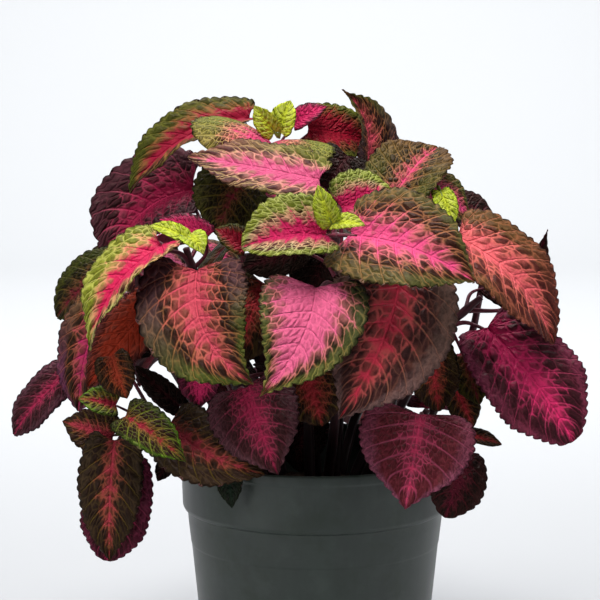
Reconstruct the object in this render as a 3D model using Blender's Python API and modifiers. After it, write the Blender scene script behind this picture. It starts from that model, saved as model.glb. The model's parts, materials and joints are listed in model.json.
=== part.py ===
"""A bushy coleus in its plastic nursery pot.

Metres, +Z up, the origin at the middle of the pot's foot. The plant faces -Y.
Every leafy stem is one solid: a square stem that stands in its own hole in the
potting mix, with its leaf stalks and toothed blades fused on. The lime leaves at
the growing tips are solids of their own.
"""

import math
import random

import bmesh
import bpy
import numpy as np
from mathutils import Vector
from mathutils.bvhtree import BVHTree

MM = 0.001

# Nursery pot
POT_HEIGHT = 165.0
RIM_RADIUS = 84.8
BAND_HEIGHT = 37.0
BAND_FOOT_RADIUS = 83.4
WALL_TOP_RADIUS = 80.4
FOOT_RADIUS = 67.5
WALL = 1.6
FLOOR = 2.0
HEEL_CHAMFER = 3.0
BEAD_DROP = 6.0
DRAIN_HOLES = 6
DRAIN_RADIUS = 5.0
DRAIN_CIRCLE = 46.0
TURN_STEPS = 32

# Potting mix
MIX_TOP = 135.0
MIX_GAP = 0.4
MIX_CROWN = 5.0
HOLE_DEPTH = 24.0
HOLE_GAP = 1.0

# Stems, leaf stalks and blades
STEM_RADIUS = 3.8
STEM_TIP_RADIUS = 2.2
STALK_RADIUS = 1.8
STALK_TIP_RADIUS = 1.0
STALK_DROP = 0.55
BLADE_THICKNESS = 0.8
TOOTH = 0.09
# The tip is drawn out to a point: from this share of the length on, by up to this share
TIP_START = 0.7
TIP_DRAW = 0.35
LOBE = 0.16

# The bush is laid out as seen from the front by an eye this far from the plant's
# middle at the rim: a place is its distance right of and above that middle, in a
# plane that leans back with the eye's downward look, and its depth behind it.
EYE = Vector((-8.0, -1472.0, 301.0))
EYE_PITCH = math.radians(8.0)
PLANT_CENTRE = Vector((-1.3, 0.0, POT_HEIGHT))

# Each blade: base and tip as (right, up, depth), the way its upper side faces as
# (turn to the right, tilt to the sky) in degrees, (width, how soon it narrows to the
# tip), (arch of the midrib up off the chord, sway to the blade's right) as shares of
# its length, (fold of the halves, curl of the margins) in degrees, and (teeth a side,
# columns of faces a side).
STEMS = {
    "top_shoot": {
        "stem": ((-2, -30, 6), (-4, 40, 4), (-14, 120, -2), (-24, 184, -4)),
        "blades": (
            ((-40, 207, 20), (-115, 160, 10), (-25, 45), (38, 0.6), (0.18, 0.0), (32, -8), (6, 2)),
            ((-26, 192, -8), (-45, 167, -44), (-8, 40), (90, 0.7), (0.16, 0.0), (26, -34), (6, 2)),
            ((-42, 174, 4), (-61, 134, -8), (-12, 15), (50, 0.7), (0.1, 0.0), (10, -10), (5, 1)),
            ((-12, 204, 4), (9, 215, 8), (-20, 30), (15, 0.8), (0.1, 0.0), (15, 0), (4, 1)),
            ((-3, 201, 12), (38, 191, 36), (15, 20), (34, 0.8), (0.12, 0.0), (18, -12), (5, 1)),
        ),
    },
    "top_back_shoot": {
        "stem": ((14, -30, 16), (18, 40, 20), (26, 110, 26), (34, 164, 26)),
        "blades": (
            ((34, 178, 18), (18, 226, 4), (50, 10), (43, 1.4), (0.05, 0.16), (28, -16), (6, 2)),
            ((22, 184, -12), (0, 150, -24), (-10, 20), (36, 0.7), (0.08, 0.0), (10, -10), (4, 1)),
        ),
    },
    "centre_shoot": {
        "stem": ((8, -30, -22), (14, 20, -46), (18, 90, -80), (14, 134, -96)),
        "blades": (
            ((4, 169, -88), (-79, 183, -72), (-5, 52), (42, 0.7), (0.02, 0.0), (10, -12), (6, 2)),
            ((24, 134, -100), (102, 104, -122), (8, 38), (67, 0.85), (0.13, 0.0), (16, -14), (7, 2)),
            ((18, 151, -74), (53, 158, -60), (-5, 44), (38, 0.8), (0.1, 0.0), (28, -6), (5, 1)),
            ((8, 134, -108), (-45, 126, -114), (5, 42), (46, 0.6), (0.12, 0.0), (28, -6), (6, 1)),
            ((2, 101, -118), (-34, 32, -146), (0, 18), (60, 1.2), (0.12, -0.1), (14, -18), (7, 2)),
            ((55, 108, -96), (16, 18, -126), (6, 12), (74, 0.95), (0.1, -0.05), (12, -22), (7, 2)),
            ((6, 150, -74), (-30, 160, -62), (0, 40), (26, 0.8), (0.08, 0.0), (10, 0), (4, 1)),
            ((-6, 126, -80), (-46, 112, -80), (0, 20), (26, 0.8), (0.08, 0.0), (10, 0), (4, 1)),
            ((8, 124, -60), (-4, 88, -64), (0, 14), (32, 0.7), (0.08, 0.0), (10, 0), (4, 1)),
        ),
    },
    "left_shoot": {
        "stem": ((-22, -30, -14), (-40, 20, -34), (-68, 90, -62), (-80, 126, -70)),
        "blades": (
            ((-95, 127, -78), (-140, 61, -92), (-50, 28), (48, 1.0), (0.15, 0.0), (26, -14), (6, 2)),
            ((-73, 112, -90), (-37, 40, -124), (-22, 22), (68, 0.95), (0.1, 0.14), (20, -20), (7, 2)),
            ((-66, 133, -66), (-97, 144, -56), (-10, 35), (17, 0.8), (0.08, 0.0), (12, 0), (4, 1)),
            ((-42, 127, -74), (-62, 138, -70), (0, 35), (18, 0.8), (0.08, 0.0), (12, 0), (4, 1)),
            ((-31, 104, -72), (-52, 50, -84), (0, 10), (42, 0.8), (0.08, 0.0), (10, -10), (5, 1)),
            ((-98, 93, -52), (-142, 38, -50), (-15, 8), (32, 0.7), (0.1, 0.0), (15, -10), (5, 1)),
            ((-95, 76, -34), (-122, 58, -36), (0, 20), (24, 0.8), (0.08, 0.0), (10, 0), (4, 1)),
        ),
    },
    "far_left_shoot": {
        "stem": ((-34, -30, 2), (-56, 20, -6), (-94, 80, -16), (-104, 116, -14)),
        "blades": (
            ((-75, 163, 36), (-125, 115, 26), (-22, 22), (63, 0.6), (0.05, 0.17), (30, -8), (6, 1)),
            ((-122, 115, -14), (-161, 82, -8), (-35, 20), (38, 0.6), (0.14, 0.0), (10, -16), (5, 1)),
            ((-130, 96, -34), (-147, 23, -34), (-30, 12), (40, 0.6), (0.1, 0.0), (14, -16), (6, 1)),
            ((-152, 49, -16), (-188, 8, -8), (-25, 25), (28, 0.55), (0.1, 0.0), (10, -16), (5, 1)),
            ((-84, 26, -14), (-112, 52, -20), (-10, 14), (16, 0.7), (0.08, 0.0), (10, 0), (4, 1)),
        ),
    },
    "low_left_shoot": {
        "stem": ((-44, -30, -18), (-60, -6, -34), (-92, 10, -54), (-117, 20, -70)),
        "blades": (
            ((-126, 7, -64), (-158, 17, -56), (-15, 20), (27, 0.9), (0.06, 0.0), (12, 0), (5, 1)),
            ((-125, 5, -72), (-128, -71, -76), (-10, 5), (38, 0.8), (0.08, 0.0), (10, -14), (6, 1)),
            ((-118, -8, -54), (-130, -71, -54), (4, 5), (40, 0.45), (0.08, 0.0), (10, -14), (5, 1)),
            ((-124, 27, -82), (-148, 31, -86), (-10, 35), (19, 0.8), (0.08, 0.0), (12, 0), (4, 1)),
            ((-118, 20, -88), (-80, -9, -106), (5, 30), (28, 0.9), (0.1, 0.0), (14, 0), (5, 1)),
            ((-127, 58, -84), (-117, 31, -88), (-10, 10), (23, 0.8), (0.08, 0.0), (12, 0), (4, 1)),
            ((-90, 14, -70), (-30, -17, -108), (0, 22), (42, 0.75), (0.12, 0.08), (12, -12), (6, 1)),
            ((-54, -8, -76), (-51, -38, -81), (0, 6), (16, 0.8), (0.06, 0.0), (10, 0), (4, 1)),
            ((-90, -6, -56), (-98, -21, -56), (0, 10), (11, 0.8), (0.06, 0.0), (10, 0), (4, 1)),
        ),
    },
    "right_shoot": {
        "stem": ((30, -30, 0), (52, 20, -10), (82, 72, -30), (106, 95, -34)),
        "blades": (
            ((91, 133, -62), (151, 65, -62), (30, 40), (58, 0.75), (0.15, 0.0), (16, -14), (7, 2)),
            ((110, 76, -44), (164, 4, -66), (14, 16), (59, 0.44), (0.1, 0.0), (10, -16), (6, 2)),
            ((95, 58, -32), (105, 27, -36), (0, 10), (24, 0.8), (0.08, 0.0), (10, 0), (4, 1)),
            ((89, 38, -22), (101, 13, -20), (10, 10), (20, 0.7), (0.08, 0.0), (10, 0), (4, 1)),
            ((73, 66, -48), (79, 23, -46), (5, 8), (30, 0.6), (0.08, 0.0), (12, 0), (5, 1)),
            ((138, 96, -26), (148, 138, -40), (20, 20), (18, 1.0), (0.05, -0.08), (20, 0), (4, 1)),
            ((108, 102, -12), (136, 84, -16), (10, 30), (16, 0.8), (0.08, 0.0), (12, 0), (4, 1)),
        ),
    },
    "right_back_shoot": {
        "stem": ((36, -30, 14), (50, 30, 6), (72, 104, -20), (76, 152, -38)),
        "blades": (
            ((50, 156, -46), (79, 189, -12), (-20, 42), (51, 0.65), (0.1, 0.0), (22, -14), (6, 2)),
            ((70, 163, -36), (98, 146, -28), (25, 35), (32, 0.7), (0.1, 0.0), (12, -10), (5, 1)),
            ((86, 150, -10), (116, 142, 8), (20, 40), (30, 0.7), (0.08, 0.0), (10, -10), (5, 1)),
        ),
    },
    "front_left_stem": {
        "stem": ((-26, -30, -40), (-32, -16, -54), (-40, 8, -70), (-48, 34, -80)),
        "blades": (
            ((-42, 38, -88), (-22, -17, -112), (-5, 8), (52, 0.9), (0.1, 0.0), (8, -14), (6, 1)),
            ((-70, 54, -60), (-72, 26, -62), (-10, 10), (26, 0.7), (0.08, 0.0), (10, 0), (4, 1)),
            ((-4, 50, -74), (6, 14, -80), (0, 8), (44, 0.7), (0.08, 0.0), (8, 0), (5, 1)),
        ),
    },
    "front_right_stem": {
        "stem": ((40, -30, -34), (48, -16, -46), (62, 8, -58), (72, 24, -64)),
        "blades": (
            ((68, 21, -78), (58, -39, -106), (-2, 8), (66, 0.95), (0.08, 0.0), (6, -14), (6, 1)),
            ((94, -3, -42), (83, -44, -56), (15, 8), (36, 0.5), (0.08, 0.0), (10, -12), (5, 1)),
            ((94, 8, -52), (119, 2, -46), (10, 55), (14, 0.7), (0.05, 0.0), (8, 0), (4, 1)),
        ),
    },
}

# The stems of the sides and the far side, which the growing rule below sets with leaves
SIDE_STEMS = {
    "inner_right_shoot": ((54, -30, 8), (74, 20, 22), (98, 66, 40), (108, 112, 44)),
    "inner_left_shoot": ((-48, -30, 20), (-70, 20, 30), (-102, 76, 34), (-112, 118, 36)),
}
BACK_STEMS = {
    "back_left_shoot": ((-24, -30, 24), (-44, 20, 40), (-78, 80, 58), (-92, 124, 66)),
    "back_shoot": ((2, -30, 36), (0, 30, 52), (-8, 100, 76), (-14, 158, 86)),
    "back_right_shoot": ((26, -30, 32), (42, 20, 48), (68, 76, 72), (78, 122, 80)),
    "low_back_left_shoot": ((-20, -30, 48), (-26, 22, 64), (-42, 46, 92), (-54, 58, 110)),
    "low_back_right_shoot": ((18, -30, 50), (28, 22, 66), (46, 44, 94), (56, 54, 112)),
}
# The joints that the growing rule sets with a pair of leaves, and the leaves' size
GROWN = {
    "top_shoot": ((6, 4), 0.8),
    "top_back_shoot": ((7, 5, 3), 0.8),
    "centre_shoot": ((5,), 0.7),
    "left_shoot": ((4,), 0.7),
    "right_shoot": ((5,), 0.7),
    "right_back_shoot": ((6, 4), 0.8),
    "far_left_shoot": ((5, 4), 0.8),
    "inner_right_shoot": ((8, 6, 5, 4, 3), 0.9),
    "inner_left_shoot": ((8, 6, 5, 4, 3), 0.9),
    "back_left_shoot": ((8, 6, 5, 3), 1.0),
    "back_shoot": ((8, 6, 5, 3), 1.0),
    "back_right_shoot": ((8, 6, 5, 3), 1.0),
    "low_back_left_shoot": ((8, 6, 5, 3), 1.0),
    "low_back_right_shoot": ((8, 6, 5, 3), 1.0),
}
BACK_LENGTH = 76.0
BACK_STALK = 26.0
BACK_SEED = 11
CLEARANCE = 1.0

# The far side's leaves keep within the bush's dome as seen from the front, an ellipse
# (middle right, middle up, half width, half height), and out of the gaps where
# daylight shows through (left, right, low, high).
DOME = (-10.0, 85.0, 140.0, 122.0)
DAYLIGHT = (
    (-108, -84, 22, 50),
    (84, 124, 60, 102),
    (-108, -62, 134, 152),
    (-100, -78, 178, 196),
    (20, 38, 12, 24),
)

# The lime leaves at the growing tips
TIPS = {
    "top_tip": (
        ((-21, 199, -11), (-14, 219, -7), (-10, 15), (17, 0.8), (0.1, 0.0), (18, 0), (4, 1)),
        ((-24, 199, -11), (-37, 216, -13), (-25, 20), (15, 0.8), (0.12, 0.0), (18, 0), (4, 1)),
    ),
    "centre_tip": (
        ((12, 141, -112), (3, 166, -116), (-15, 25), (15, 0.8), (0.1, 0.0), (15, 0), (4, 1)),
        ((13, 141, -113), (33, 140, -122), (10, 40), (13, 0.8), (0.1, 0.0), (15, 0), (4, 1)),
    ),
    "left_tip": (
        ((-80, 132, -80), (-103, 140, -74), (0, 45), (12, 0.8), (0.1, 0.0), (15, 0), (4, 1)),
        ((-79, 133, -80), (-69, 122, -92), (20, 30), (16, 0.8), (0.18, 0.0), (15, 0), (4, 1)),
    ),
    "right_tip": (
        ((80, 162, -52), (88, 139, -64), (10, 20), (14, 0.7), (0.1, 0.0), (12, 0), (4, 1)),
    ),
}


def clear_scene():
    for obj in list(bpy.data.objects):
        bpy.data.objects.remove(obj)


def new_collection(name):
    made = bpy.data.collections.new(name)
    bpy.context.scene.collection.children.link(made)
    return made


def material(name, colour, roughness, metallic=0.0):
    made = bpy.data.materials.new(name)
    made.use_nodes = True
    shader = made.node_tree.nodes["Principled BSDF"]
    shader.inputs["Base Color"].default_value = (*colour, 1.0)
    shader.inputs["Roughness"].default_value = roughness
    shader.inputs["Metallic"].default_value = metallic
    return made


def place(right, up, depth):
    """The point at this depth that the eye sees this far right of and above the plant's middle."""
    seen = Vector((right, up * math.sin(EYE_PITCH), up * math.cos(EYE_PITCH)))
    reach = (depth - EYE.y) / (seen.y - EYE.y)
    return EYE + (seen - EYE) * reach + PLANT_CENTRE


def facing(turn, tilt):
    turn, tilt = math.radians(turn), math.radians(tilt)
    return Vector((math.sin(turn) * math.cos(tilt), -math.cos(turn) * math.cos(tilt), math.sin(tilt)))


class Blade:
    """One leaf blade: a bent midrib with two halves that fold, curl and end in teeth."""

    def __init__(self, base, tip, face, outline, bend, halves, grid):
        self.base, self.tip = base, tip
        chord = tip - base
        self.length = chord.length
        along = chord.normalized()
        self.normal = (face - face.dot(along) * along).normalized()
        side = along.cross(self.normal)
        lift = self.normal * bend[0] + side * bend[1]
        self.middle = base + chord * 0.5 + lift * (2 * self.length)
        self.width, self.narrowing = outline
        self.fold, self.curl = (math.radians(angle) for angle in halves)
        self.teeth, self.columns = grid

    def midrib(self, t):
        """A quadratic curve from base to tip, and its direction."""
        point = (1 - t) ** 2 * self.base + 2 * t * (1 - t) * self.middle + t * t * self.tip
        heading = 2 * (1 - t) * (self.middle - self.base) + 2 * t * (self.tip - self.middle)
        return point, heading.normalized()

    def half_width(self, t):
        """Rises as a root from the base, and falls to the tip by the narrowing power."""
        power = self.narrowing
        peak = 0.5 / (0.5 + power)
        share = math.sqrt(t) * (1 - t) ** power / (math.sqrt(peak) * (1 - peak) ** power)
        drawn = min(max((t - TIP_START) / (1 - TIP_START), 0.0), 1.0)
        return 0.5 * self.width * share * (1 - TIP_DRAW * drawn)

    def point(self, t, v, tooth=0.0):
        """The place t along the blade and v across it, from -1 to 1 at the margins."""
        out = self.half_width(t) * abs(v) * (1 + tooth)
        bump = t / 0.15 * math.exp(1 - t / 0.15)
        back = t - LOBE * bump * abs(v) ** 1.5
        centre, heading = self.midrib(max(back, -0.2))
        side = heading.cross(self.normal).normalized()
        up = side.cross(heading)
        bend = 2 * self.curl / self.width
        start = self.fold
        if abs(bend) > 1e-6:
            across = (math.sin(start + bend * out) - math.sin(start)) / bend
            raised = (math.cos(start) - math.cos(start + bend * out)) / bend
        else:
            across, raised = out * math.cos(start), out * math.sin(start)
        return centre + math.copysign(across, v) * side + raised * up

    def sheet(self):
        """Corners and triangles of the blade without its thickness."""
        count = self.teeth
        corners = [self.midrib(i / count)[0] for i in range(count + 1)]
        faces = []
        for sign in (1, -1):
            inner, valley, crest = {}, {}, {}
            for i in range(1, count):
                if self.columns == 2:
                    inner[i] = len(corners)
                    corners.append(self.point(i / count, 0.5 * sign))
                else:
                    inner[i] = i
                valley[i] = len(corners)
                corners.append(self.point(i / count, sign))
            for end in (0, count):
                inner[end] = valley[end] = end
            for i in range(count):
                crest[i] = len(corners)
                corners.append(self.point((i + 0.6) / count, sign, TOOTH))
            for i in range(count):
                rings = [(i, inner[i], inner[i + 1], i + 1)] if self.columns == 2 else []
                rings.append((inner[i], valley[i], crest[i], valley[i + 1], inner[i + 1]))
                for ring in rings:
                    ring = list(dict.fromkeys(ring))
                    for a, b in zip(ring[1:], ring[2:]):
                        faces.append((ring[0], a, b) if sign < 0 else (ring[0], b, a))
        return corners, faces


def blade_of(row):
    base, tip, face, *shape = row
    return Blade(place(*base), place(*tip), facing(*face), *shape)


def smooth_path(points, count):
    """Places along a smooth curve through the points (Catmull-Rom)."""
    ends = [2 * points[0] - points[1], *points, 2 * points[-1] - points[-2]]
    path = []
    for k in range(count):
        s = k / (count - 1) * (len(points) - 1)
        i = min(int(s), len(points) - 2)
        t = s - i
        a, b, c, d = ends[i : i + 4]
        path.append(
            0.5 * (2 * b + (c - a) * t + (2 * a - 5 * b + 4 * c - d) * t * t + (3 * b - a - 3 * c + d) * t**3)
        )
    return path


def stem_path(rows):
    """From the foot of its hole straight up to the mix, then along the given places."""
    points = [place(*row) for row in rows]
    foot = Vector((points[0].x, points[0].y, MIX_TOP - HOLE_DEPTH + HOLE_GAP))
    top = Vector((points[0].x, points[0].y, MIX_TOP + MIX_CROWN))
    return [foot, *smooth_path([top, *points[1:]], 8)]


def stalk_path(stem, blade):
    """A stalk leaves the stem below the leaf, bows up and runs in under the blade's midrib."""
    best = min(range(2, len(stem)), key=lambda i: (stem[i] - blade.base).length)
    gap = (stem[best] - blade.base).length
    while best > 2 and (stem[best] - stem[best - 1]).length * 0.5 < STALK_DROP * gap:
        gap -= (stem[best] - stem[best - 1]).length / STALK_DROP
        best -= 1
    start = stem[best]
    heading = blade.midrib(0.0)[1]
    bow = blade.base - heading * 0.35 * (blade.base - start).length
    middle = start.lerp(bow, 0.6) * 0.7 + start.lerp(blade.base, 0.55) * 0.3
    return [start, middle, blade.midrib(0.06)[0]]


def skins(blade, reach):
    """The blade's triangles, also moved out by this much to both sides, to test for touching."""
    corners, faces = blade.sheet()
    points = np.array([tuple(corner) for corner in corners])
    rings = np.array(faces)
    flat = np.cross(points[rings[:, 1]] - points[rings[:, 0]], points[rings[:, 2]] - points[rings[:, 0]])
    normals = np.zeros_like(points)
    for k in range(3):
        np.add.at(normals, rings[:, k], flat)
    normals *= reach / np.linalg.norm(normals, axis=1)[:, None]
    layers = np.vstack([points, points + normals, points - normals])
    rings = np.vstack([rings + len(points) * k for k in range(3)])
    return BVHTree.FromPolygons(layers.tolist(), rings.tolist())


def one_skin(blades):
    points, rings = [], []
    for blade in blades:
        corners, faces = blade.sheet()
        rings += [tuple(len(points) + corner for corner in face) for face in faces]
        points += corners
    return BVHTree.FromPolygons(points, rings)


def tube_skin(path, radius):
    """A six-sided skin round a stem or a stalk, to test for touching."""
    points, rings, sides = [], [], 6
    for k, at in enumerate(path):
        heading = (path[min(k + 1, len(path) - 1)] - path[max(k - 1, 0)]).normalized()
        across = heading.orthogonal().normalized()
        other = heading.cross(across)
        for i in range(sides):
            turn = 2 * math.pi * i / sides
            points.append(at + radius * (math.cos(turn) * across + math.sin(turn) * other))
    for k in range(len(path) - 1):
        for i in range(sides):
            a, b = sides * k + i, sides * k + (i + 1) % sides
            rings += [(a, b, b + sides), (a, b + sides, a + sides)]
    return BVHTree.FromPolygons(points, rings)


def pot_skin():
    """The outside of the pot and the top of its mix, a little larger than they are."""
    points, rings, steps = [], [], 24
    middle = 3 * steps
    for k in range(steps):
        angle = 2 * math.pi * k / steps
        levels = ((RIM_RADIUS + 2, POT_HEIGHT + 3), (FOOT_RADIUS + 4, 0.0), (RIM_RADIUS, MIX_TOP + 4))
        for radius, height in levels:
            points.append(Vector((radius * math.cos(angle), radius * math.sin(angle), height)))
    points.append(Vector((0.0, 0.0, MIX_TOP + MIX_CROWN + 3)))
    for k in range(steps):
        a, b = 3 * k, 3 * ((k + 1) % steps)
        rings += [(a, b, b + 1), (a, b + 1, a + 1), (a + 2, b + 2, middle)]
    return BVHTree.FromPolygons(points, rings)


def seen_from_front(point):
    """How far right of and above the plant's middle the eye sees a point."""
    offset = point - PLANT_CENTRE - EYE
    lean = Vector((0.0, math.cos(EYE_PITCH), -math.sin(EYE_PITCH)))
    rise = Vector((0.0, math.sin(EYE_PITCH), math.cos(EYE_PITCH)))
    seen = EYE + offset * (-EYE.dot(lean) / offset.dot(lean))
    return seen.x, seen.dot(rise)


def hidden_behind(blade):
    """Whether the dome hides the whole blade, with no daylight gap covered."""
    for t, v in ((0, 0), (0.2, 1), (0.2, -1), (0.5, 1), (0.5, -1), (0.5, 0), (0.8, 1), (0.8, -1), (1, 0)):
        right, up = seen_from_front(blade.point(t, v))
        middle, level, half_width, half_height = DOME
        in_dome = ((right - middle) / half_width) ** 2 + ((up - level) / half_height) ** 2 < 1
        if not (in_dome and up > 12 or abs(right) < 66 and -70 < up < 60):
            return False
        if any(left < right < far and low < up < high for left, far, low, high in DAYLIGHT):
            return False
    return True


def grown_blade(joint, turn, droop, size):
    """A leaf that stands out from a joint of the stem and hangs by the droop."""
    turn, droop = math.radians(turn), math.radians(droop)
    out = Vector((math.sin(turn), math.cos(turn), 0.0))
    stalk = BACK_STALK * size
    base = joint + out * stalk * 0.9 + Vector((0, 0, stalk * 0.45))
    length = BACK_LENGTH * size
    tip = base + out * length * math.cos(droop) - Vector((0, 0, length * math.sin(droop)))
    face = out * math.sin(droop) + Vector((0, 0, math.cos(droop)))
    return Blade(base, tip, face, (length * 0.78, 0.65), (0.12, 0.0), (12, -16), (4, 1))


def touches(tree, taken):
    return any(tree.overlap(other) for other in taken)


def beside(blade, taken):
    """Whether any corner of the blade lies within the clearance of another skin."""
    corners = blade.sheet()[0]
    return any(other.find_nearest(corner, CLEARANCE)[0] for other in taken for corner in corners)


def grow(stem, joints, size, front, taken, others, dice):
    """Pairs of leaves at these joints. Each turns, droops or shrinks until it is clear."""
    blades = []
    outward = math.degrees(math.atan2(stem[-1].x, stem[-1].y))
    for pair, joint in enumerate(joints):
        for half in (0, 180):
            wish = outward + 90 * (pair % 2) + half + dice.uniform(-15, 15)
            share = size * dice.uniform(0.9, 1.1) * (0.8 if joint == len(stem) - 1 else 1.0)
            for smaller in (share, share * 0.8, share * 0.62):
                blade = first_clear(stem, joint, wish, smaller, front, taken, others)
                if blade:
                    blades.append(blade)
                    break
    return blades


def covered(blade, front):
    """Whether the leaves that face the front cover most of this blade from the eye."""
    eye, hits = EYE + PLANT_CENTRE, 0
    places = [(t, v) for t in (0.1, 0.4, 0.7, 1.0) for v in (-1, 0, 1)]
    for t, v in places:
        sight = blade.point(t, v) - eye
        hits += front.ray_cast(eye, sight.normalized(), sight.length)[0] is not None
    return hits > 0.8 * len(places)


def first_clear(stem, joint, wish, size, front, taken, others):
    for swing in (0, 20, -20, 40, -40, 60, -60):
        for droop in (30, 50, 10, 68, -12):
            blade = grown_blade(stem[joint], wish + swing, droop, size)
            if not hidden_behind(blade) or front and not covered(blade, front):
                continue
            skin, stalk = skins(blade, CLEARANCE), stalk_path(stem, blade)
            stalk_skin = tube_skin([stalk[0].lerp(stalk[1], 0.25), *stalk[1:]], STALK_RADIUS + 0.8)
            if touches(skin, taken + others) or touches(stalk_skin, taken + others):
                continue
            if not beside(blade, taken + others):
                taken += [skin, stalk_skin]
                return blade
    return None


def lay_out():
    """Every stem's path with its blades, and the blades of the growing tips."""
    tips = {name: [blade_of(row) for row in rows] for name, rows in TIPS.items()}
    taken = [pot_skin()]
    for blades in tips.values():
        taken += [skins(blade, CLEARANCE) for blade in blades]
    shoots = {}
    for name, rows in STEMS.items():
        stem, blades = stem_path(rows["stem"]), [blade_of(row) for row in rows["blades"]]
        shoots[name] = (stem, blades)
        taken += [skins(blade, CLEARANCE) for blade in blades]
        taken += [tube_skin(stalk_path(stem, blade), STALK_RADIUS + 0.6) for blade in blades]
    front = one_skin([blade for _, blades in shoots.values() for blade in blades])
    for name, rows in {**SIDE_STEMS, **BACK_STEMS}.items():
        shoots[name] = (stem_path(rows), [])
    stems = {name: tube_skin(stem, STEM_RADIUS + 1.2) for name, (stem, _) in shoots.items()}
    dice = random.Random(BACK_SEED)
    for name, (joints, size) in GROWN.items():
        stem, blades = shoots[name]
        others = [skin for other, skin in stems.items() if other != name]
        blades += grow(stem, joints, size, None if name in BACK_STEMS else front, taken, others, dice)
    return shoots, tips


def tube(name, path, radii):
    """A four-sided tube along the path, as a closed mesh."""
    curve = bpy.data.curves.new(name, "CURVE")
    curve.dimensions = "3D"
    curve.bevel_depth = 1.0 * MM
    curve.bevel_resolution = 0
    curve.use_fill_caps = True
    spline = curve.splines.new("POLY")
    spline.points.add(len(path) - 1)
    for point, at, radius in zip(spline.points, path, radii):
        point.co = (*(at * MM), 1.0)
        point.radius = radius
    guide = bpy.data.objects.new(name + "_guide", curve)
    bpy.context.scene.collection.objects.link(guide)
    mesh = bpy.data.meshes.new_from_object(guide.evaluated_get(bpy.context.evaluated_depsgraph_get()))
    bpy.data.objects.remove(guide)
    form = bmesh.new()
    form.from_mesh(mesh)
    bmesh.ops.remove_doubles(form, verts=form.verts, dist=0.00001)
    bmesh.ops.recalc_face_normals(form, faces=form.faces)
    form.to_mesh(mesh)
    form.free()
    return bpy.data.objects.new(name, mesh)


def blade_object(name, blade):
    corners, faces = blade.sheet()
    mesh = bpy.data.meshes.new(name)
    mesh.from_pydata([tuple(corner * MM) for corner in corners], [], faces)
    obj = bpy.data.objects.new(name, mesh)
    solid = obj.modifiers.new("Thickness", "SOLIDIFY")
    solid.thickness = BLADE_THICKNESS * MM
    solid.offset = 0.0
    return obj


def evaluated_mesh(obj):
    return bpy.data.meshes.new_from_object(obj.evaluated_get(bpy.context.evaluated_depsgraph_get()))


def fuse(name, pieces, parts, look):
    """The first piece joined with all the others in one solid."""
    first, others = pieces[0], pieces[1:]
    parts.objects.link(first)
    joined = new_collection(name + "_pieces")
    for piece in others:
        joined.objects.link(piece)
    for piece in pieces:
        if piece.modifiers:
            mesh = evaluated_mesh(piece)
            piece.modifiers.clear()
            piece.data = mesh
    union = first.modifiers.new("Join", "BOOLEAN")
    union.operation = "UNION"
    union.operand_type = "COLLECTION"
    union.collection = joined
    union.solver = "MANIFOLD"
    mesh = evaluated_mesh(first)
    first.modifiers.clear()
    first.data = mesh
    for piece in others:
        bpy.data.objects.remove(piece)
    bpy.data.collections.remove(joined)
    first.name = name
    mesh.materials.clear()
    mesh.materials.append(look)
    mesh.shade_smooth()
    mesh.set_sharp_from_angle(angle=math.radians(40))
    return first


def graded(start, end, count):
    return [start + (end - start) * i / (count - 1) for i in range(count)]


def build_shoot(name, stem, blades, parts, look):
    pieces = [tube(name + "_stem", stem, graded(STEM_RADIUS, STEM_TIP_RADIUS, len(stem)))]
    for i, blade in enumerate(blades):
        path = stalk_path(stem, blade)
        radii = graded(STALK_RADIUS, STALK_TIP_RADIUS, len(path))
        pieces.append(tube(f"{name}_stalk_{i}", path, radii))
        pieces.append(blade_object(f"{name}_blade_{i}", blade))
    return fuse(name, pieces, parts, look)


def build_tip(name, blades, parts, look):
    bases = sum((blade.base for blade in blades), Vector()) / len(blades)
    heading = sum((blade.midrib(0.0)[1] for blade in blades), Vector()).normalized()
    path = [bases - heading * 4, *(blades[0].midrib(t)[0] for t in (0.05, 0.2))]
    pieces = [tube(name + "_stub", path, (1.4, 1.2, 0.9))]
    for i, blade in enumerate(blades):
        if i:
            path = [bases - heading * 3, *(blade.midrib(t)[0] for t in (0.05, 0.2))]
            pieces.append(tube(f"{name}_stub_{i}", path, (1.3, 1.2, 0.9)))
        pieces.append(blade_object(f"{name}_blade_{i}", blade))
    return fuse(name, pieces, parts, look)


def turned(name, profile, parts, look):
    """A solid turned from a profile of (radius, height) that starts and ends on the axis."""
    mesh = bpy.data.meshes.new(name)
    corners = [(r * MM, 0.0, z * MM) for r, z in profile]
    mesh.from_pydata(corners, [(i, i + 1) for i in range(len(corners) - 1)], [])
    obj = bpy.data.objects.new(name, mesh)
    parts.objects.link(obj)
    screw = obj.modifiers.new("Turn", "SCREW")
    screw.steps = screw.render_steps = TURN_STEPS
    screw.use_merge_vertices = True
    screw.merge_threshold = 0.00005
    mesh.materials.append(look)
    return obj


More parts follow.
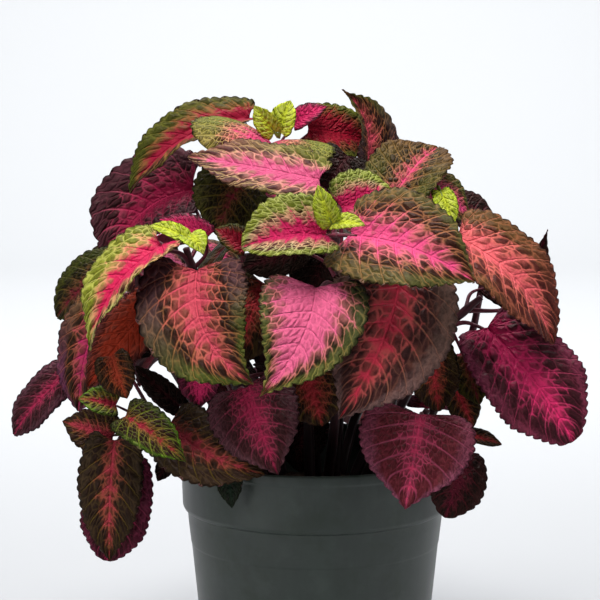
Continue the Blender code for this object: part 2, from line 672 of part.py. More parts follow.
def pot_profile():
    """Down the outside from the rim, across the foot, and up the inside."""
    band_foot = POT_HEIGHT - BAND_HEIGHT
    inner_top = RIM_RADIUS - WALL
    return [
        (RIM_RADIUS - 0.5 * WALL, POT_HEIGHT),
        (RIM_RADIUS, POT_HEIGHT - 0.8),
        (RIM_RADIUS, POT_HEIGHT - BEAD_DROP),
        (RIM_RADIUS - 0.6, POT_HEIGHT - BEAD_DROP - 1.0),
        (BAND_FOOT_RADIUS, band_foot + 3.0),
        (BAND_FOOT_RADIUS - 1.0, band_foot + 0.6),
        (WALL_TOP_RADIUS, band_foot),
        (WALL_TOP_RADIUS - 0.5, band_foot - 7.0),
        (FOOT_RADIUS, HEEL_CHAMFER),
        (FOOT_RADIUS - HEEL_CHAMFER, 0.0),
        (0.0, 0.0),
        (0.0, FLOOR),
        (FOOT_RADIUS - HEEL_CHAMFER - 1.0, FLOOR),
        (FOOT_RADIUS - WALL, HEEL_CHAMFER + FLOOR),
        (WALL_TOP_RADIUS - 0.5 - WALL, band_foot - 7.0),
        (BAND_FOOT_RADIUS - WALL - 1.0, band_foot + 4.0),
        (inner_top, POT_HEIGHT - BEAD_DROP),
        (inner_top, POT_HEIGHT - 0.8),
        (RIM_RADIUS - 0.5 * WALL, POT_HEIGHT),
    ]


def inner_radius(height):
    """Radius of the pot's inner wall below its band."""
    low, high = HEEL_CHAMFER + FLOOR, POT_HEIGHT - BAND_HEIGHT - 7.0
    share = (height - low) / (high - low)
    return FOOT_RADIUS - WALL + share * (WALL_TOP_RADIUS - 0.5 - FOOT_RADIUS)


def mix_profile():
    low = FLOOR + HEEL_CHAMFER
    edge = POT_HEIGHT - BAND_HEIGHT - 7.0
    return [
        (0.0, MIX_TOP + MIX_CROWN),
        (38.0, MIX_TOP + MIX_CROWN * 0.75),
        (inner_radius(edge) - MIX_GAP, MIX_TOP - 3.0),
        (inner_radius(edge) - MIX_GAP, edge),
        (inner_radius(low) - MIX_GAP, low),
        (FOOT_RADIUS - HEEL_CHAMFER - 1.5, FLOOR + MIX_GAP),
        (0.0, FLOOR + MIX_GAP),
    ]


def cylinder_cutter(name, at, radius, low, high, sides, cutters):
    bpy.ops.mesh.primitive_cylinder_add(
        vertices=sides,
        radius=radius * MM,
        depth=(high - low) * MM,
        location=(at[0] * MM, at[1] * MM, 0.5 * (low + high) * MM),
    )
    obj = bpy.context.active_object
    obj.name = name
    for owner in list(obj.users_collection):
        owner.objects.unlink(obj)
    cutters.objects.link(obj)
    obj.hide_render = True
    obj.display_type = "WIRE"
    return obj


def cut_with(obj, cutters):
    cut = obj.modifiers.new("Holes", "BOOLEAN")
    cut.operation = "DIFFERENCE"
    cut.operand_type = "COLLECTION"
    cut.collection = cutters
    cut.solver = "EXACT"


def build_pot(parts):
    look = material("pot_plastic", (0.042, 0.052, 0.046), 0.42)
    pot = turned("pot", pot_profile(), parts, look)
    drains = new_collection("drain_cutters")
    for i in range(DRAIN_HOLES):
        angle = 2 * math.pi * (i + 0.5) / DRAIN_HOLES
        at = (DRAIN_CIRCLE * math.cos(angle), DRAIN_CIRCLE * math.sin(angle))
        cylinder_cutter(f"drain_{i}", at, DRAIN_RADIUS, -5.0, FLOOR + 5.0, 8, drains)
    cut_with(pot, drains)
    return pot


def build_mix(feet, parts):
    look = material("potting_mix", (0.020, 0.014, 0.010), 0.95)
    mix = turned("potting_mix", mix_profile(), parts, look)
    holes = new_collection("stem_cutters")
    for i, foot in enumerate(feet):
        low, high = MIX_TOP - HOLE_DEPTH, MIX_TOP + 30.0
        cylinder_cutter(f"stem_hole_{i}", foot, STEM_RADIUS + HOLE_GAP, low, high, 8, holes)
    cut_with(mix, holes)
    return mix


def main():
    clear_scene()
    parts = new_collection("potted_coleus")
    build_pot(parts)
    shoots, tips = lay_out()
    build_mix([(stem[0].x, stem[0].y) for stem, _ in shoots.values()], parts)
    for name, (stem, blades) in shoots.items():
        look = material(name + "_leaf", (0.16, 0.02, 0.035), 0.5)
        build_shoot(name, stem, blades, parts, look)
    for name, blades in tips.items():
        look = material(name + "_leaf", (0.45, 0.55, 0.06), 0.5)
        build_tip(name, blades, parts, look)


if __name__ == "__main__":
    main()
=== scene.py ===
import json
import math
import random

import bmesh
import bpy
import numpy as np
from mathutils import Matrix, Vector
from mathutils.bvhtree import BVHTree

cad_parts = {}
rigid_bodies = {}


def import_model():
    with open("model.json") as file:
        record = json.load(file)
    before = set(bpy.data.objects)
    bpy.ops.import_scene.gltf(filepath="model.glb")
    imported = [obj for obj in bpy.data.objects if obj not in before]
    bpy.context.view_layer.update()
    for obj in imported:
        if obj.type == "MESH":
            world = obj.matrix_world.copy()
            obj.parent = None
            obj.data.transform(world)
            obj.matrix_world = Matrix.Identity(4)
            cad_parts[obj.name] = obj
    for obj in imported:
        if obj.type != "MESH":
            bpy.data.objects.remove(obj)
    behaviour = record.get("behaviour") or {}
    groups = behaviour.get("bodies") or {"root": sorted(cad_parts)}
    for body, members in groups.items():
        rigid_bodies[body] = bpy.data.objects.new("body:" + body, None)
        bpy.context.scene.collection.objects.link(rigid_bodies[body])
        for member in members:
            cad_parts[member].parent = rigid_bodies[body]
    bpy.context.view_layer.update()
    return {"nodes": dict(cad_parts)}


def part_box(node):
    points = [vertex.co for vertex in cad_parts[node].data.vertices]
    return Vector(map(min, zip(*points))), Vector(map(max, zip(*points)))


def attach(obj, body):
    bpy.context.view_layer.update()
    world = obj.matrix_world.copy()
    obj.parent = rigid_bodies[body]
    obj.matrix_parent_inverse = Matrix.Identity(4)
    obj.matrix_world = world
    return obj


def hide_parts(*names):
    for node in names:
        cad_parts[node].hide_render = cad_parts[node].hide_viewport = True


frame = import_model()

mm = 0.001
print("coleus: frame loaded,", len(frame["nodes"]), "nodes")


# Small helpers for objects, materials and numbers
def linearColour(code):
    # sRGB to linear: c / 12.92 near black, else ((c + 0.055) / 1.055) ^ 2.4
    share = np.array([int(code[i : i + 2], 16) for i in (1, 3, 5)]) / 255.0
    linear = np.where(share <= 0.04045, share / 12.92, ((share + 0.055) / 1.055) ** 2.4)
    return (*linear.tolist(), 1.0)


def addNode(tree, kind, settings=(), links=()):
    # one node: settings are its properties or socket values, links name what feeds each socket, which is
    # an output or else a node's first output
    node = tree.nodes.new("ShaderNode" + kind)
    for key, value in dict(settings).items():
        if isinstance(key, str) and hasattr(node, key):
            setattr(node, key, value)
        else:
            node.inputs[key].default_value = value
    for key, source in dict(links).items():
        output = source if isinstance(source, bpy.types.NodeSocket) else source.outputs[0]
        tree.links.new(output, node.inputs[key])
    return node


def newMaterial(name):
    made = bpy.data.materials.new(name)
    made.use_nodes = True
    made.node_tree.nodes.clear()
    return made, made.node_tree


def addObject(name, data):
    made = bpy.data.objects.new(name, data)
    bpy.context.scene.collection.objects.link(made)
    return made


def unit(vectors):
    return vectors / np.maximum(np.linalg.norm(vectors, axis=-1, keepdims=True), 1e-12)


def smooth(low, high, value):
    # 0 below low, 1 above high, 3s^2 - 2s^3 between
    s = np.clip((value - low) / (high - low), 0.0, 1.0)
    return s * s * (3.0 - 2.0 * s)


def bell(value, width):
    # exp(-(value / width)^2)
    return np.exp(-((value / width) ** 2))


def makePiece(name, parts, materials):
    # joins parts of points (mm), faces and point attributes in one mesh at the origin
    mesh = bpy.data.meshes.new(name)
    starts = np.cumsum([0] + [len(part["points"]) for part in parts])
    points = np.concatenate([part["points"] for part in parts]) * mm
    corners, sizes, slots = [], [], []
    for start, part in zip(starts, parts):
        for faces, slot in part["faces"]:
            corners.append((faces + start).ravel())
            sizes.append(np.full(len(faces), faces.shape[1]))
            slots.append(np.full(len(faces), slot))
    corners, sizes, slots = (np.concatenate(each).astype(np.int32) for each in (corners, sizes, slots))
    mesh.vertices.add(len(points))
    mesh.vertices.foreach_set("co", points.astype(np.float32).ravel())
    mesh.loops.add(len(corners))
    mesh.polygons.add(len(sizes))
    mesh.polygons.foreach_set("loop_start", np.concatenate([[0], np.cumsum(sizes)[:-1]]).astype(np.int32))
    mesh.polygons.foreach_set("vertices", corners)
    mesh.polygons.foreach_set("material_index", slots)
    for key in parts[0]["marks"]:
        values = np.concatenate([part["marks"][key] for part in parts]).astype(np.float32)
        kind, field = ("FLOAT_COLOR", "color") if values.shape[1] == 4 else ("FLOAT_VECTOR", "vector")
        mesh.attributes.new(key, kind, "POINT").data.foreach_set(field, values.ravel())
    mesh.update(calc_edges=True)
    mesh.validate()
    mesh.shade_smooth()
    for material in materials:
        mesh.materials.append(material)
    piece = addObject(name, mesh)
    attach(piece, "root")
    return piece


# Camera: level with the bush, looking 8 degrees down
view = {
    "place": (-0.00945, -1.4724, 0.4661),
    "turn": (82.0, 0.0, 0.0),
    "lens": 142.86,
    "sensor": 36.0,
    "farthest": 30.0,
}
camera = addObject("camera", bpy.data.cameras.new("camera"))
camera.location = view["place"]
camera.rotation_euler = [math.radians(angle) for angle in view["turn"]]
camera.data.lens, camera.data.sensor_width, camera.data.clip_end = view["lens"], view["sensor"], view["farthest"]
bpy.context.scene.camera = camera

# Where every stem and leaf stands, in mm
plant = {
    "eye": np.array([-8.0, -1472.0, 301.0]),  # the eye, measured from the centre, and how far down it looks
    "pitch": math.radians(8.0),
    "centre": np.array([-1.3, 0.0, 165.0]),  # the place (0, 0, 0) of every row, at the pot's rim
    "mixTop": 140.0,
    "stemFoot": 112.0,
    "lobe": 0.16,  # how far the rounded base is drawn back, where along the blade, and how fast outward
    "lobePlace": 0.15,
    "lobePower": 1.5,
    "tipStart": 0.7,
    "tipDraw": 0.35,
    "crest": (0.6, 0.09),  # a coarse tooth's place between two valleys, and how far it stands out
    "clearance": 1.0,  # between leaves
    "seed": 11,
}

# A place is (right, up, depth) as the eye sees it from the front, and a stem is four places. A leaf is its
# base and tip, the way its face looks (turn, tilt), (width, narrowing), (arch, sway), (fold, curl),
# (teeth, columns) and its look: a palette, how far the centre's colour reaches, the margin's width and,
# where the halves differ, how far the centre's colour leans to the left one, seen with the tip up.
leafyStems = {
    "top_shoot": (
        ((-2, -30, 6), (-4, 40, 4), (-14, 120, -2), (-24, 184, -4)),
        ((-40, 207, 20), (-115, 160, 10), (-25, 45), (38, 0.6), (0.18, 0), (32, -8), (6, 2),
         ("crimsonOlive", 0.76, 0.45, 0.8)),
        ((-26, 192, -8), (-45, 167, -44), (-8, 40), (90, 0.7), (0.16, 0), (26, -34), (6, 2), ("limePink", 0.42, 0.55)),
        ((-42, 174, 4), (-61, 134, -8), (-12, 15), (50, 0.7), (0.1, 0), (10, -10), (5, 1), ("olive", 0.12, 0.5)),
        ((-12, 204, 4), (9, 215, 8), (-20, 30), (15, 0.8), (0.1, 0), (15, 0), (4, 1), ("magenta", 0.9, 0.2)),
        ((-3, 201, 12), (38, 191, 36), (15, 20), (34, 0.8), (0.12, 0), (18, -12), (5, 1), ("crimsonLime", 0.7, 0.4)),
    ),
    "top_back_shoot": (
        ((14, -30, 16), (18, 40, 20), (26, 110, 26), (34, 164, 26)),
        ((34, 178, 18), (18, 226, 4), (50, 10), (43, 1.4), (0.05, 0.16), (28, -16), (6, 2), ("purpleNet", 0.3, 0.45)),
        ((22, 184, -12), (0, 150, -24), (-10, 20), (36, 0.7), (0.08, 0), (10, -10), (4, 1), ("shade", 0.2, 0.3)),
    ),
    "centre_shoot": (
        ((8, -30, -22), (14, 20, -46), (18, 90, -80), (14, 134, -96)),
        ((4, 169, -88), (-79, 183, -72), (-5, 52), (42, 0.7), (0.02, 0), (10, -12), (6, 2),
         ("pinkTan", 0.58, 0.35, 0.5)),
        ((24, 134, -100), (102, 104, -122), (8, 38), (67, 0.85), (0.13, 0), (16, -14), (7, 2),
         ("oliveNet", 0.37, 0.42, 0.2)),
        ((18, 151, -74), (53, 158, -60), (-5, 44), (38, 0.8), (0.1, 0), (28, -6), (5, 1),
         ("limeRed", 0.62, 0.45, -0.3)),
        ((8, 134, -108), (-45, 126, -114), (5, 42), (46, 0.6), (0.12, 0), (28, -6), (6, 1),
         ("limeRed", 0.55, 0.5, 0.3)),
        ((2, 101, -118), (-34, 32, -146), (0, 18), (60, 1.2), (0.12, -0.1), (14, -18), (7, 2),
         ("pinkOlive", 0.74, 0.4, -0.1)),
        ((55, 108, -96), (16, 18, -126), (6, 12), (74, 0.95), (0.1, -0.05), (12, -22), (7, 2), ("duskNet", 0.28, 0.45)),
        ((6, 150, -74), (-30, 160, -62), (0, 40), (26, 0.8), (0.08, 0), (10, 0), (4, 1), ("magenta", 0.5, 0.3)),
        ((-6, 126, -80), (-46, 112, -80), (0, 20), (26, 0.8), (0.08, 0), (10, 0), (4, 1), ("shade", 0.3, 0.3)),
        ((8, 124, -60), (-4, 88, -64), (0, 14), (32, 0.7), (0.08, 0), (10, 0), (4, 1), ("shade", 0.1, 0.3)),
    ),
    "left_shoot": (
        ((-22, -30, -14), (-40, 20, -34), (-68, 90, -62), (-80, 126, -70)),
        ((-95, 127, -78), (-140, 61, -92), (-50, 28), (48, 1), (0.15, 0), (26, -14), (6, 2),
         ("limeEdge", 0.7, 0.5, 0.8)),
        ((-73, 112, -90), (-37, 40, -124), (-22, 22), (68, 0.95), (0.1, 0.14), (20, -20), (7, 2),
         ("purpleNet", 0.4, 0.5, 0.1)),
        ((-66, 133, -66), (-97, 144, -56), (-10, 35), (17, 0.8), (0.08, 0), (12, 0), (4, 1), ("magenta", 0.8, 0.25)),
        ((-42, 127, -74), (-62, 138, -70), (0, 35), (18, 0.8), (0.08, 0), (12, 0), (4, 1), ("crimsonLime", 0.7, 0.3)),
        ((-31, 104, -72), (-52, 50, -84), (0, 10), (42, 0.8), (0.08, 0), (10, -10), (5, 1), ("ember", 0.25, 0.4)),
        ((-98, 93, -52), (-142, 38, -50), (-15, 8), (32, 0.7), (0.1, 0), (15, -10), (5, 1), ("emberLit", 0.9, 0.3)),
        ((-95, 76, -34), (-122, 58, -36), (0, 20), (24, 0.8), (0.08, 0), (10, 0), (4, 1), ("shade", 0.4, 0.3)),
    ),
    "far_left_shoot": (
        ((-34, -30, 2), (-56, 20, -6), (-94, 80, -16), (-104, 116, -14)),
        ((-75, 163, 36), (-125, 115, 26), (-22, 22), (63, 0.6), (0.05, 0.17), (30, -8), (6, 1),
         ("mauveRed", 0.44, 0.45)),
        ((-122, 115, -14), (-161, 82, -8), (-35, 20), (38, 0.6), (0.14, 0), (10, -16), (5, 1), ("olive", 0.3, 0.5)),
        ((-130, 96, -34), (-147, 23, -34), (-30, 12), (40, 0.6), (0.1, 0), (14, -16), (6, 1), ("brownRose", 0.28, 0.5)),
        ((-152, 49, -16), (-188, 8, -8), (-25, 25), (28, 0.55), (0.1, 0), (10, -16), (5, 1), ("plum", 0.22, 0.45)),
        ((-84, 26, -14), (-112, 52, -20), (-10, 14), (16, 0.7), (0.08, 0), (10, 0), (4, 1), ("shade", 0.1, 0.3)),
    ),
    "low_left_shoot": (
        ((-44, -30, -18), (-60, -6, -34), (-92, 10, -54), (-117, 20, -70)),
        ((-126, 7, -64), (-158, 17, -56), (-15, 20), (27, 0.9), (0.06, 0), (12, 0), (5, 1), ("emberRose", 0.35, 0.4)),
        ((-125, 5, -72), (-128, -71, -76), (-10, 5), (38, 0.8), (0.08, 0), (10, -14), (6, 1), ("emberRose", 0.2, 0.4)),
        ((-118, -8, -54), (-130, -71, -54), (4, 5), (40, 0.45), (0.08, 0), (10, -14), (5, 1), ("wineNet", 0.4, 0.4)),
        ((-124, 27, -82), (-148, 31, -86), (-10, 35), (19, 0.8), (0.08, 0), (12, 0), (4, 1), ("emberGreen", 0.3, 0.38)),
        ((-118, 20, -88), (-80, -9, -106), (5, 30), (28, 0.9), (0.1, 0), (14, 0), (5, 1), ("emberGreen", 0.2, 0.33)),
        ((-127, 58, -84), (-117, 31, -88), (-10, 10), (23, 0.8), (0.08, 0), (12, 0), (4, 1), ("emberBrown", 0.3, 0.4)),
        ((-90, 14, -70), (-30, -17, -108), (0, 22), (42, 0.75), (0.12, 0.08), (12, -12), (6, 1),
         ("emberRose", 0.26, 0.4)),
        ((-54, -8, -76), (-51, -38, -81), (0, 6), (16, 0.8), (0.06, 0), (10, 0), (4, 1), ("darkGreen", 0.1, 0.5)),
        ((-90, -6, -56), (-98, -21, -56), (0, 10), (11, 0.8), (0.06, 0), (10, 0), (4, 1), ("shade", 0.2, 0.3)),
    ),
    "right_shoot": (
        ((30, -30, 0), (52, 20, -10), (82, 72, -30), (106, 95, -34)),
        ((91, 133, -62), (151, 65, -62), (30, 40), (58, 0.75), (0.15, 0), (16, -14), (7, 2),
         ("salmon", 0.38, 0.45, -0.2)),
        ((110, 76, -44), (164, 4, -66), (14, 16), (59, 0.44), (0.1, 0), (10, -16), (6, 2), ("wineNet", 0.42, 0.35)),
        ((95, 58, -32), (105, 27, -36), (0, 10), (24, 0.8), (0.08, 0), (10, 0), (4, 1), ("olive", 0.2, 0.5)),
        ((89, 38, -22), (101, 13, -20), (10, 10), (20, 0.7), (0.08, 0), (10, 0), (4, 1), ("ember", 0.3, 0.4)),
        ((73, 66, -48), (79, 23, -46), (5, 8), (30, 0.6), (0.08, 0), (12, 0), (5, 1), ("ember", 0.35, 0.4)),
        ((138, 96, -26), (148, 138, -40), (20, 20), (18, 1), (0.05, -0.08), (20, 0), (4, 1), ("dark", 0.3, 0.4)),
        ((108, 102, -12), (136, 84, -16), (10, 30), (16, 0.8), (0.08, 0), (12, 0), (4, 1), ("dark", 0.3, 0.4)),
    ),
    "right_back_shoot": (
        ((36, -30, 14), (50, 30, 6), (72, 104, -20), (76, 152, -38)),
        ((50, 156, -46), (79, 189, -12), (-20, 42), (51, 0.65), (0.1, 0), (22, -14), (6, 2), ("greenNet", 0.12, 0.6)),
        ((70, 163, -36), (98, 146, -28), (25, 35), (32, 0.7), (0.1, 0), (12, -10), (5, 1), ("oliveNet", 0.5, 0.5)),
        ((86, 150, -10), (116, 142, 8), (20, 40), (30, 0.7), (0.08, 0), (10, -10), (5, 1), ("dark", 0.2, 0.5)),
    ),
    "front_left_stem": (
        ((-26, -30, -40), (-32, -16, -54), (-40, 8, -70), (-48, 34, -80)),
        ((-42, 38, -88), (-22, -17, -112), (-5, 8), (52, 0.9), (0.1, 0), (8, -14), (6, 1), ("plum", 0.34, 0.4)),
        ((-70, 54, -60), (-72, 26, -62), (-10, 10), (26, 0.7), (0.08, 0), (10, 0), (4, 1), ("wineNet", 0.5, 0.4)),
        ((-4, 50, -74), (6, 14, -80), (0, 8), (44, 0.7), (0.08, 0), (8, 0), (5, 1), ("ember", 0.3, 0.4)),
    ),
    "front_right_stem": (
        ((40, -30, -34), (48, -16, -46), (62, 8, -58), (72, 24, -64)),
        ((68, 21, -78), (58, -39, -106), (-2, 8), (66, 0.95), (0.08, 0), (6, -14), (6, 1), ("wine", 0.16, 0.35)),
        ((94, -3, -42), (83, -44, -56), (15, 8), (36, 0.5), (0.08, 0), (10, -12), (5, 1), ("dark", 0.35, 0.4)),
        ((94, 8, -52), (119, 2, -46), (10, 55), (14, 0.7), (0.05, 0), (8, 0), (4, 1), ("ember", 0.3, 0.4)),
    ),
}
youngLook = ("lime", 0.4, 0.4)
youngLeaves = {
    "top_tip": (
        ((-21, 199, -11), (-14, 219, -7), (-10, 15), (17, 0.8), (0.1, 0), (18, 0), (4, 1)),
        ((-24, 199, -11), (-37, 216, -13), (-25, 20), (15, 0.8), (0.12, 0), (18, 0), (4, 1)),
    ),
    "centre_tip": (
        ((12, 141, -112), (3, 166, -116), (-15, 25), (15, 0.8), (0.1, 0), (15, 0), (4, 1)),
        ((13, 141, -113), (33, 140, -122), (10, 40), (13, 0.8), (0.1, 0), (15, 0), (4, 1)),
    ),
    "left_tip": (
        ((-80, 132, -80), (-103, 140, -74), (0, 45), (12, 0.8), (0.1, 0), (15, 0), (4, 1)),
        ((-79, 133, -80), (-69, 122, -92), (20, 30), (16, 0.8), (0.18, 0), (15, 0), (4, 1)),
    ),
    "right_tip": (
        ((80, 162, -52), (88, 139, -64), (10, 20), (14, 0.7), (0.1, 0), (12, 0), (4, 1)),
    ),
}
sideStems = {
    "inner_right_shoot": ((54, -30, 8), (74, 20, 22), (98, 66, 40), (108, 112, 44)),
    "inner_left_shoot": ((-48, -30, 20), (-70, 20, 30), (-102, 76, 34), (-112, 118, 36)),
}
backStems = {
    "back_left_shoot": ((-24, -30, 24), (-44, 20, 40), (-78, 80, 58), (-92, 124, 66)),
    "back_shoot": ((2, -30, 36), (0, 30, 52), (-8, 100, 76), (-14, 158, 86)),
    "back_right_shoot": ((26, -30, 32), (42, 20, 48), (68, 76, 72), (78, 122, 80)),
    "low_back_left_shoot": ((-20, -30, 48), (-26, 22, 64), (-42, 46, 92), (-54, 58, 110)),
    "low_back_right_shoot": ((18, -30, 50), (28, 22, 66), (46, 44, 94), (56, 54, 112)),
}
# the joints at which the growing rule sets a pair of leaves, and the leaves' size
grownPairs = {
    "top_shoot": ((6, 4), 0.8),
    "top_back_shoot": ((7, 5, 3), 0.8),
    "centre_shoot": ((5,), 0.7),
    "left_shoot": ((4,), 0.7),
    "right_shoot": ((5,), 0.7),
    "right_back_shoot": ((6, 4), 0.8),
    "far_left_shoot": ((5, 4), 0.8),
    **{name: ((8, 6, 5, 4, 3), 0.9) for name in sideStems},
    **{name: ((8, 6, 5, 3), 1.0) for name in backStems},
}
stalkForm = {
    "slope": 0.55,  # a lower joint is taken while half its step is less than this share of the gap
    "back": 0.35,  # the bow's pull, then the shares of the way out along a bowed and a straight line
    "bowed": 0.6,
    "straight": 0.55,
    "mix": (0.7, 0.3),
    "under": 0.06,  # how far along the midrib a stalk ends
}
growth = {
    "stalk": 26.0,  # mm at size 1
    "length": 76.0,
    "out": 0.9,  # shares of the stalk's length
    "rise": 0.45,
    "outline": (0.78, 0.65),  # width to length, narrowing
    "bend": (0.12, 0.0),
    "halves": (12, -16),
    "teeth": (4, 1),
    "turn": 15,  # degrees that chance may add or take, and shares of the size
    "sizes": (0.9, 1.1),
    "topSize": 0.8,
    "swings": (0, 20, -20, 40, -40, 60, -60),
    "droops": (30, 50, 10, 68, -12),
    "smaller": (1.0, 0.8, 0.62),
    "outerJoint": 7,  # leaves from this joint up have the outer looks
}
skins = {
    "stalk": 2.4,  # radii in mm that a leaf keeps clear of
    "grownStalk": 2.6,
    "stem": 5.0,
    "sides": 6,
    "pot": ((86.8, 168.0), (71.5, 0.0), (84.8, 139.0)),  # (radius, height) over the rim, at the foot, inside
    "mix": 143.0,
    "potSteps": 24,
}
sight = {
    "dome": (-10.0, 85.0, 140.0, 122.0),  # the bush from the front: middle right and up, half width and height
    "domeFoot": 12,
    "skirt": (66, -70, 60),  # the leaves below the dome: half width, lowest, highest
    "daylight": (  # gaps: left, right, low, high
        (-108, -84, 22, 50), (84, 124, 60, 102), (-108, -62, 134, 152), (-100, -78, 178, 196), (20, 38, 12, 24),
    ),
    # spots (along, across) of a leaf that the dome has to hide, and the share of sight lines that cover a leaf
    "spots": ((0, 0), (0.2, 1), (0.2, -1), (0.5, 1), (0.5, -1), (0.5, 0), (0.8, 1), (0.8, -1), (1, 0)),
    "covered": 0.8,
}


def place(right, up, depth):
    # the point at this depth on the sight line through the seen place
    pitch, eye = plant["pitch"], plant["eye"]
    seen = np.array([right, up * math.sin(pitch), up * math.cos(pitch)])
    return eye + (seen - eye) * (depth - eye[1]) / (seen[1] - eye[1]) + plant["centre"]


def facing(turn, tilt):
    # a direction by degrees to the right of the front and degrees up from level
    turn, tilt = math.radians(turn), math.radians(tilt)
    return np.array([math.sin(turn) * math.cos(tilt), -math.cos(turn) * math.cos(tilt), math.sin(tilt)])


def makeLeaf(base, tip, face, outline, bend, halves, teeth, look=None):
    # the midrib's middle stands off the chord by the arch toward the face and by the sway to the side
    chord = tip - base
    along = unit(chord)
    normal = unit(face - face.dot(along) * along)
    lift = normal * bend[0] + np.cross(along, normal) * bend[1]
    length = float(np.linalg.norm(chord))
    return {
        "base": base, "tip": tip, "middle": base + chord * 0.5 + lift * 2 * length, "normal": normal,
        "length": length, "width": outline[0], "narrowing": outline[1],
        "fold": math.radians(halves[0]), "curl": math.radians(halves[1]), "teeth": teeth, "look": look,
    }


def midrib(leaf, t):
    # quadratic curve from base to tip, and its direction
    t = np.asarray(t, float)[..., None]
    a, b, c = leaf["base"], leaf["middle"], leaf["tip"]
    return (1 - t) ** 2 * a + 2 * t * (1 - t) * b + t * t * c, unit(2 * (1 - t) * (b - a) + 2 * t * (c - b))


def halfWidth(leaf, t):
    # sqrt(t) * (1 - t)^narrowing, scaled so that its highest value is half the width, less a straight
    # taper over the last part that draws the tip out
    power = leaf["narrowing"]
    peak = 0.5 / (0.5 + power)
    drawn = 1 - plant["tipDraw"] * np.clip((t - plant["tipStart"]) / (1 - plant["tipStart"]), 0, 1)
    return 0.5 * leaf["width"] * np.sqrt(t) * (1 - t) ** power / (math.sqrt(peak) * (1 - peak) ** power) * drawn


def leafPoint(leaf, t, v, tooth=0.0):
    # v runs -1 to 1 across: the half leaves the midrib at the fold's angle and bends by the curl on an
    # arc, and near the base its outer part is drawn back into a rounded lobe
    t, v = np.broadcast_arrays(np.asarray(t, float), np.asarray(v, float))
    out = halfWidth(leaf, t) * np.abs(v) * (1 + tooth)
    spot = plant["lobePlace"]
    back = t - plant["lobe"] * t / spot * np.exp(1 - t / spot) * np.abs(v) ** plant["lobePower"]
    centre, heading = midrib(leaf, np.maximum(back, -0.2))
    side = unit(np.cross(heading, leaf["normal"]))
    up = np.cross(side, heading)
    bend, start = 2 * leaf["curl"] / leaf["width"], leaf["fold"]
    if abs(bend) > 1e-6:
        across = (np.sin(start + bend * out) - math.sin(start)) / bend
        raised = (math.cos(start) - np.cos(start + bend * out)) / bend
    else:
        across, raised = out * math.cos(start), out * math.sin(start)
    return centre + (np.sign(v) * across)[..., None] * side + raised[..., None] * up


def smoothPath(points, count):
    # Catmull-Rom curve through the points, at even steps of its parameter
    points = np.asarray(points)
    ends = np.vstack([2 * points[0] - points[1], points, 2 * points[-1] - points[-2]])
    s = np.arange(count) / (count - 1) * (len(points) - 1)
    i = np.minimum(s.astype(int), len(points) - 2)
    t = (s - i)[:, None]
    a, b, c, d = ends[i], ends[i + 1], ends[i + 2], ends[i + 3]
    return 0.5 * (2 * b + (c - a) * t + (2 * a - 5 * b + 4 * c - d) * t * t + (3 * b - a - 3 * c + d) * t**3)


def stemPath(rows, count=8):
    # a point under the mix, then even steps from the mix up, which are the stem's joints
    points = [place(*row) for row in rows]
    foot, top = points[0].copy(), points[0].copy()
    foot[2], top[2] = plant["stemFoot"], plant["mixTop"]
    return np.vstack([foot, smoothPath([top, *points[1:]], count)])


def stalkPath(stem, leaf):
    # a stalk leaves the stem below its leaf, bows up and runs in under the midrib
    form = stalkForm
    gaps = np.linalg.norm(stem - leaf["base"], axis=1)
    best = 2 + int(np.argmin(gaps[2:]))
    gap = gaps[best]
    while best > 2 and np.linalg.norm(stem[best] - stem[best - 1]) * 0.5 < form["slope"] * gap:
        gap -= np.linalg.norm(stem[best] - stem[best - 1]) / form["slope"]
        best -= 1
    start, base = stem[best], leaf["base"]
    bow = base - midrib(leaf, 0.0)[1] * form["back"] * np.linalg.norm(base - start)
    bowed, straight = start + (bow - start) * form["bowed"], start + (base - start) * form["straight"]
    return np.array([start, bowed * form["mix"][0] + straight * form["mix"][1], midrib(leaf, form["under"])[0]])


def plainSheet(leaf):
    # the leaf as a few flat facets with coarse teeth, which the growing rule keeps clear of others
    count, columns = leaf["teeth"]
    spots = [(i / count, 0.0, 0.0) for i in range(count + 1)]
    triangles = []
    for sign in (1, -1):
        inner, valley, crest = {}, {}, {}
        for i in range(1, count):
            inner[i] = i
            if columns == 2:
                inner[i] = len(spots)
                spots.append((i / count, 0.5 * sign, 0.0))
            valley[i] = len(spots)
            spots.append((i / count, sign, 0.0))
        for end in (0, count):
            inner[end] = valley[end] = end
        for i in range(count):
            crest[i] = len(spots)
            spots.append(((i + plant["crest"][0]) / count, sign, plant["crest"][1]))
        for i in range(count):
            rings = [(i, inner[i], inner[i + 1], i + 1)] if columns == 2 else []
            rings.append((inner[i], valley[i], crest[i], valley[i + 1], inner[i + 1]))
            for ring in rings:
                ring = list(dict.fromkeys(ring))
                triangles += [(ring[0], *((a, b) if sign < 0 else (b, a))) for a, b in zip(ring[1:], ring[2:])]
    t, v, tooth = np.array(spots).T
    return leafPoint(leaf, t, v, tooth), np.array(triangles)


def leafSkin(leaf):
    # the sheet and two copies moved out along its normals by the clearance
    points, rings = plainSheet(leaf)
    flat = np.cross(points[rings[:, 1]] - points[rings[:, 0]], points[rings[:, 2]] - points[rings[:, 0]])
    normals = np.zeros_like(points)
    for k in range(3):
        np.add.at(normals, rings[:, k], flat)
    normals = unit(normals) * plant["clearance"]
    layers = np.vstack([points, points + normals, points - normals])
    rings = np.vstack([rings + len(points) * k for k in range(3)])
    return BVHTree.FromPolygons(layers.tolist(), rings.tolist())


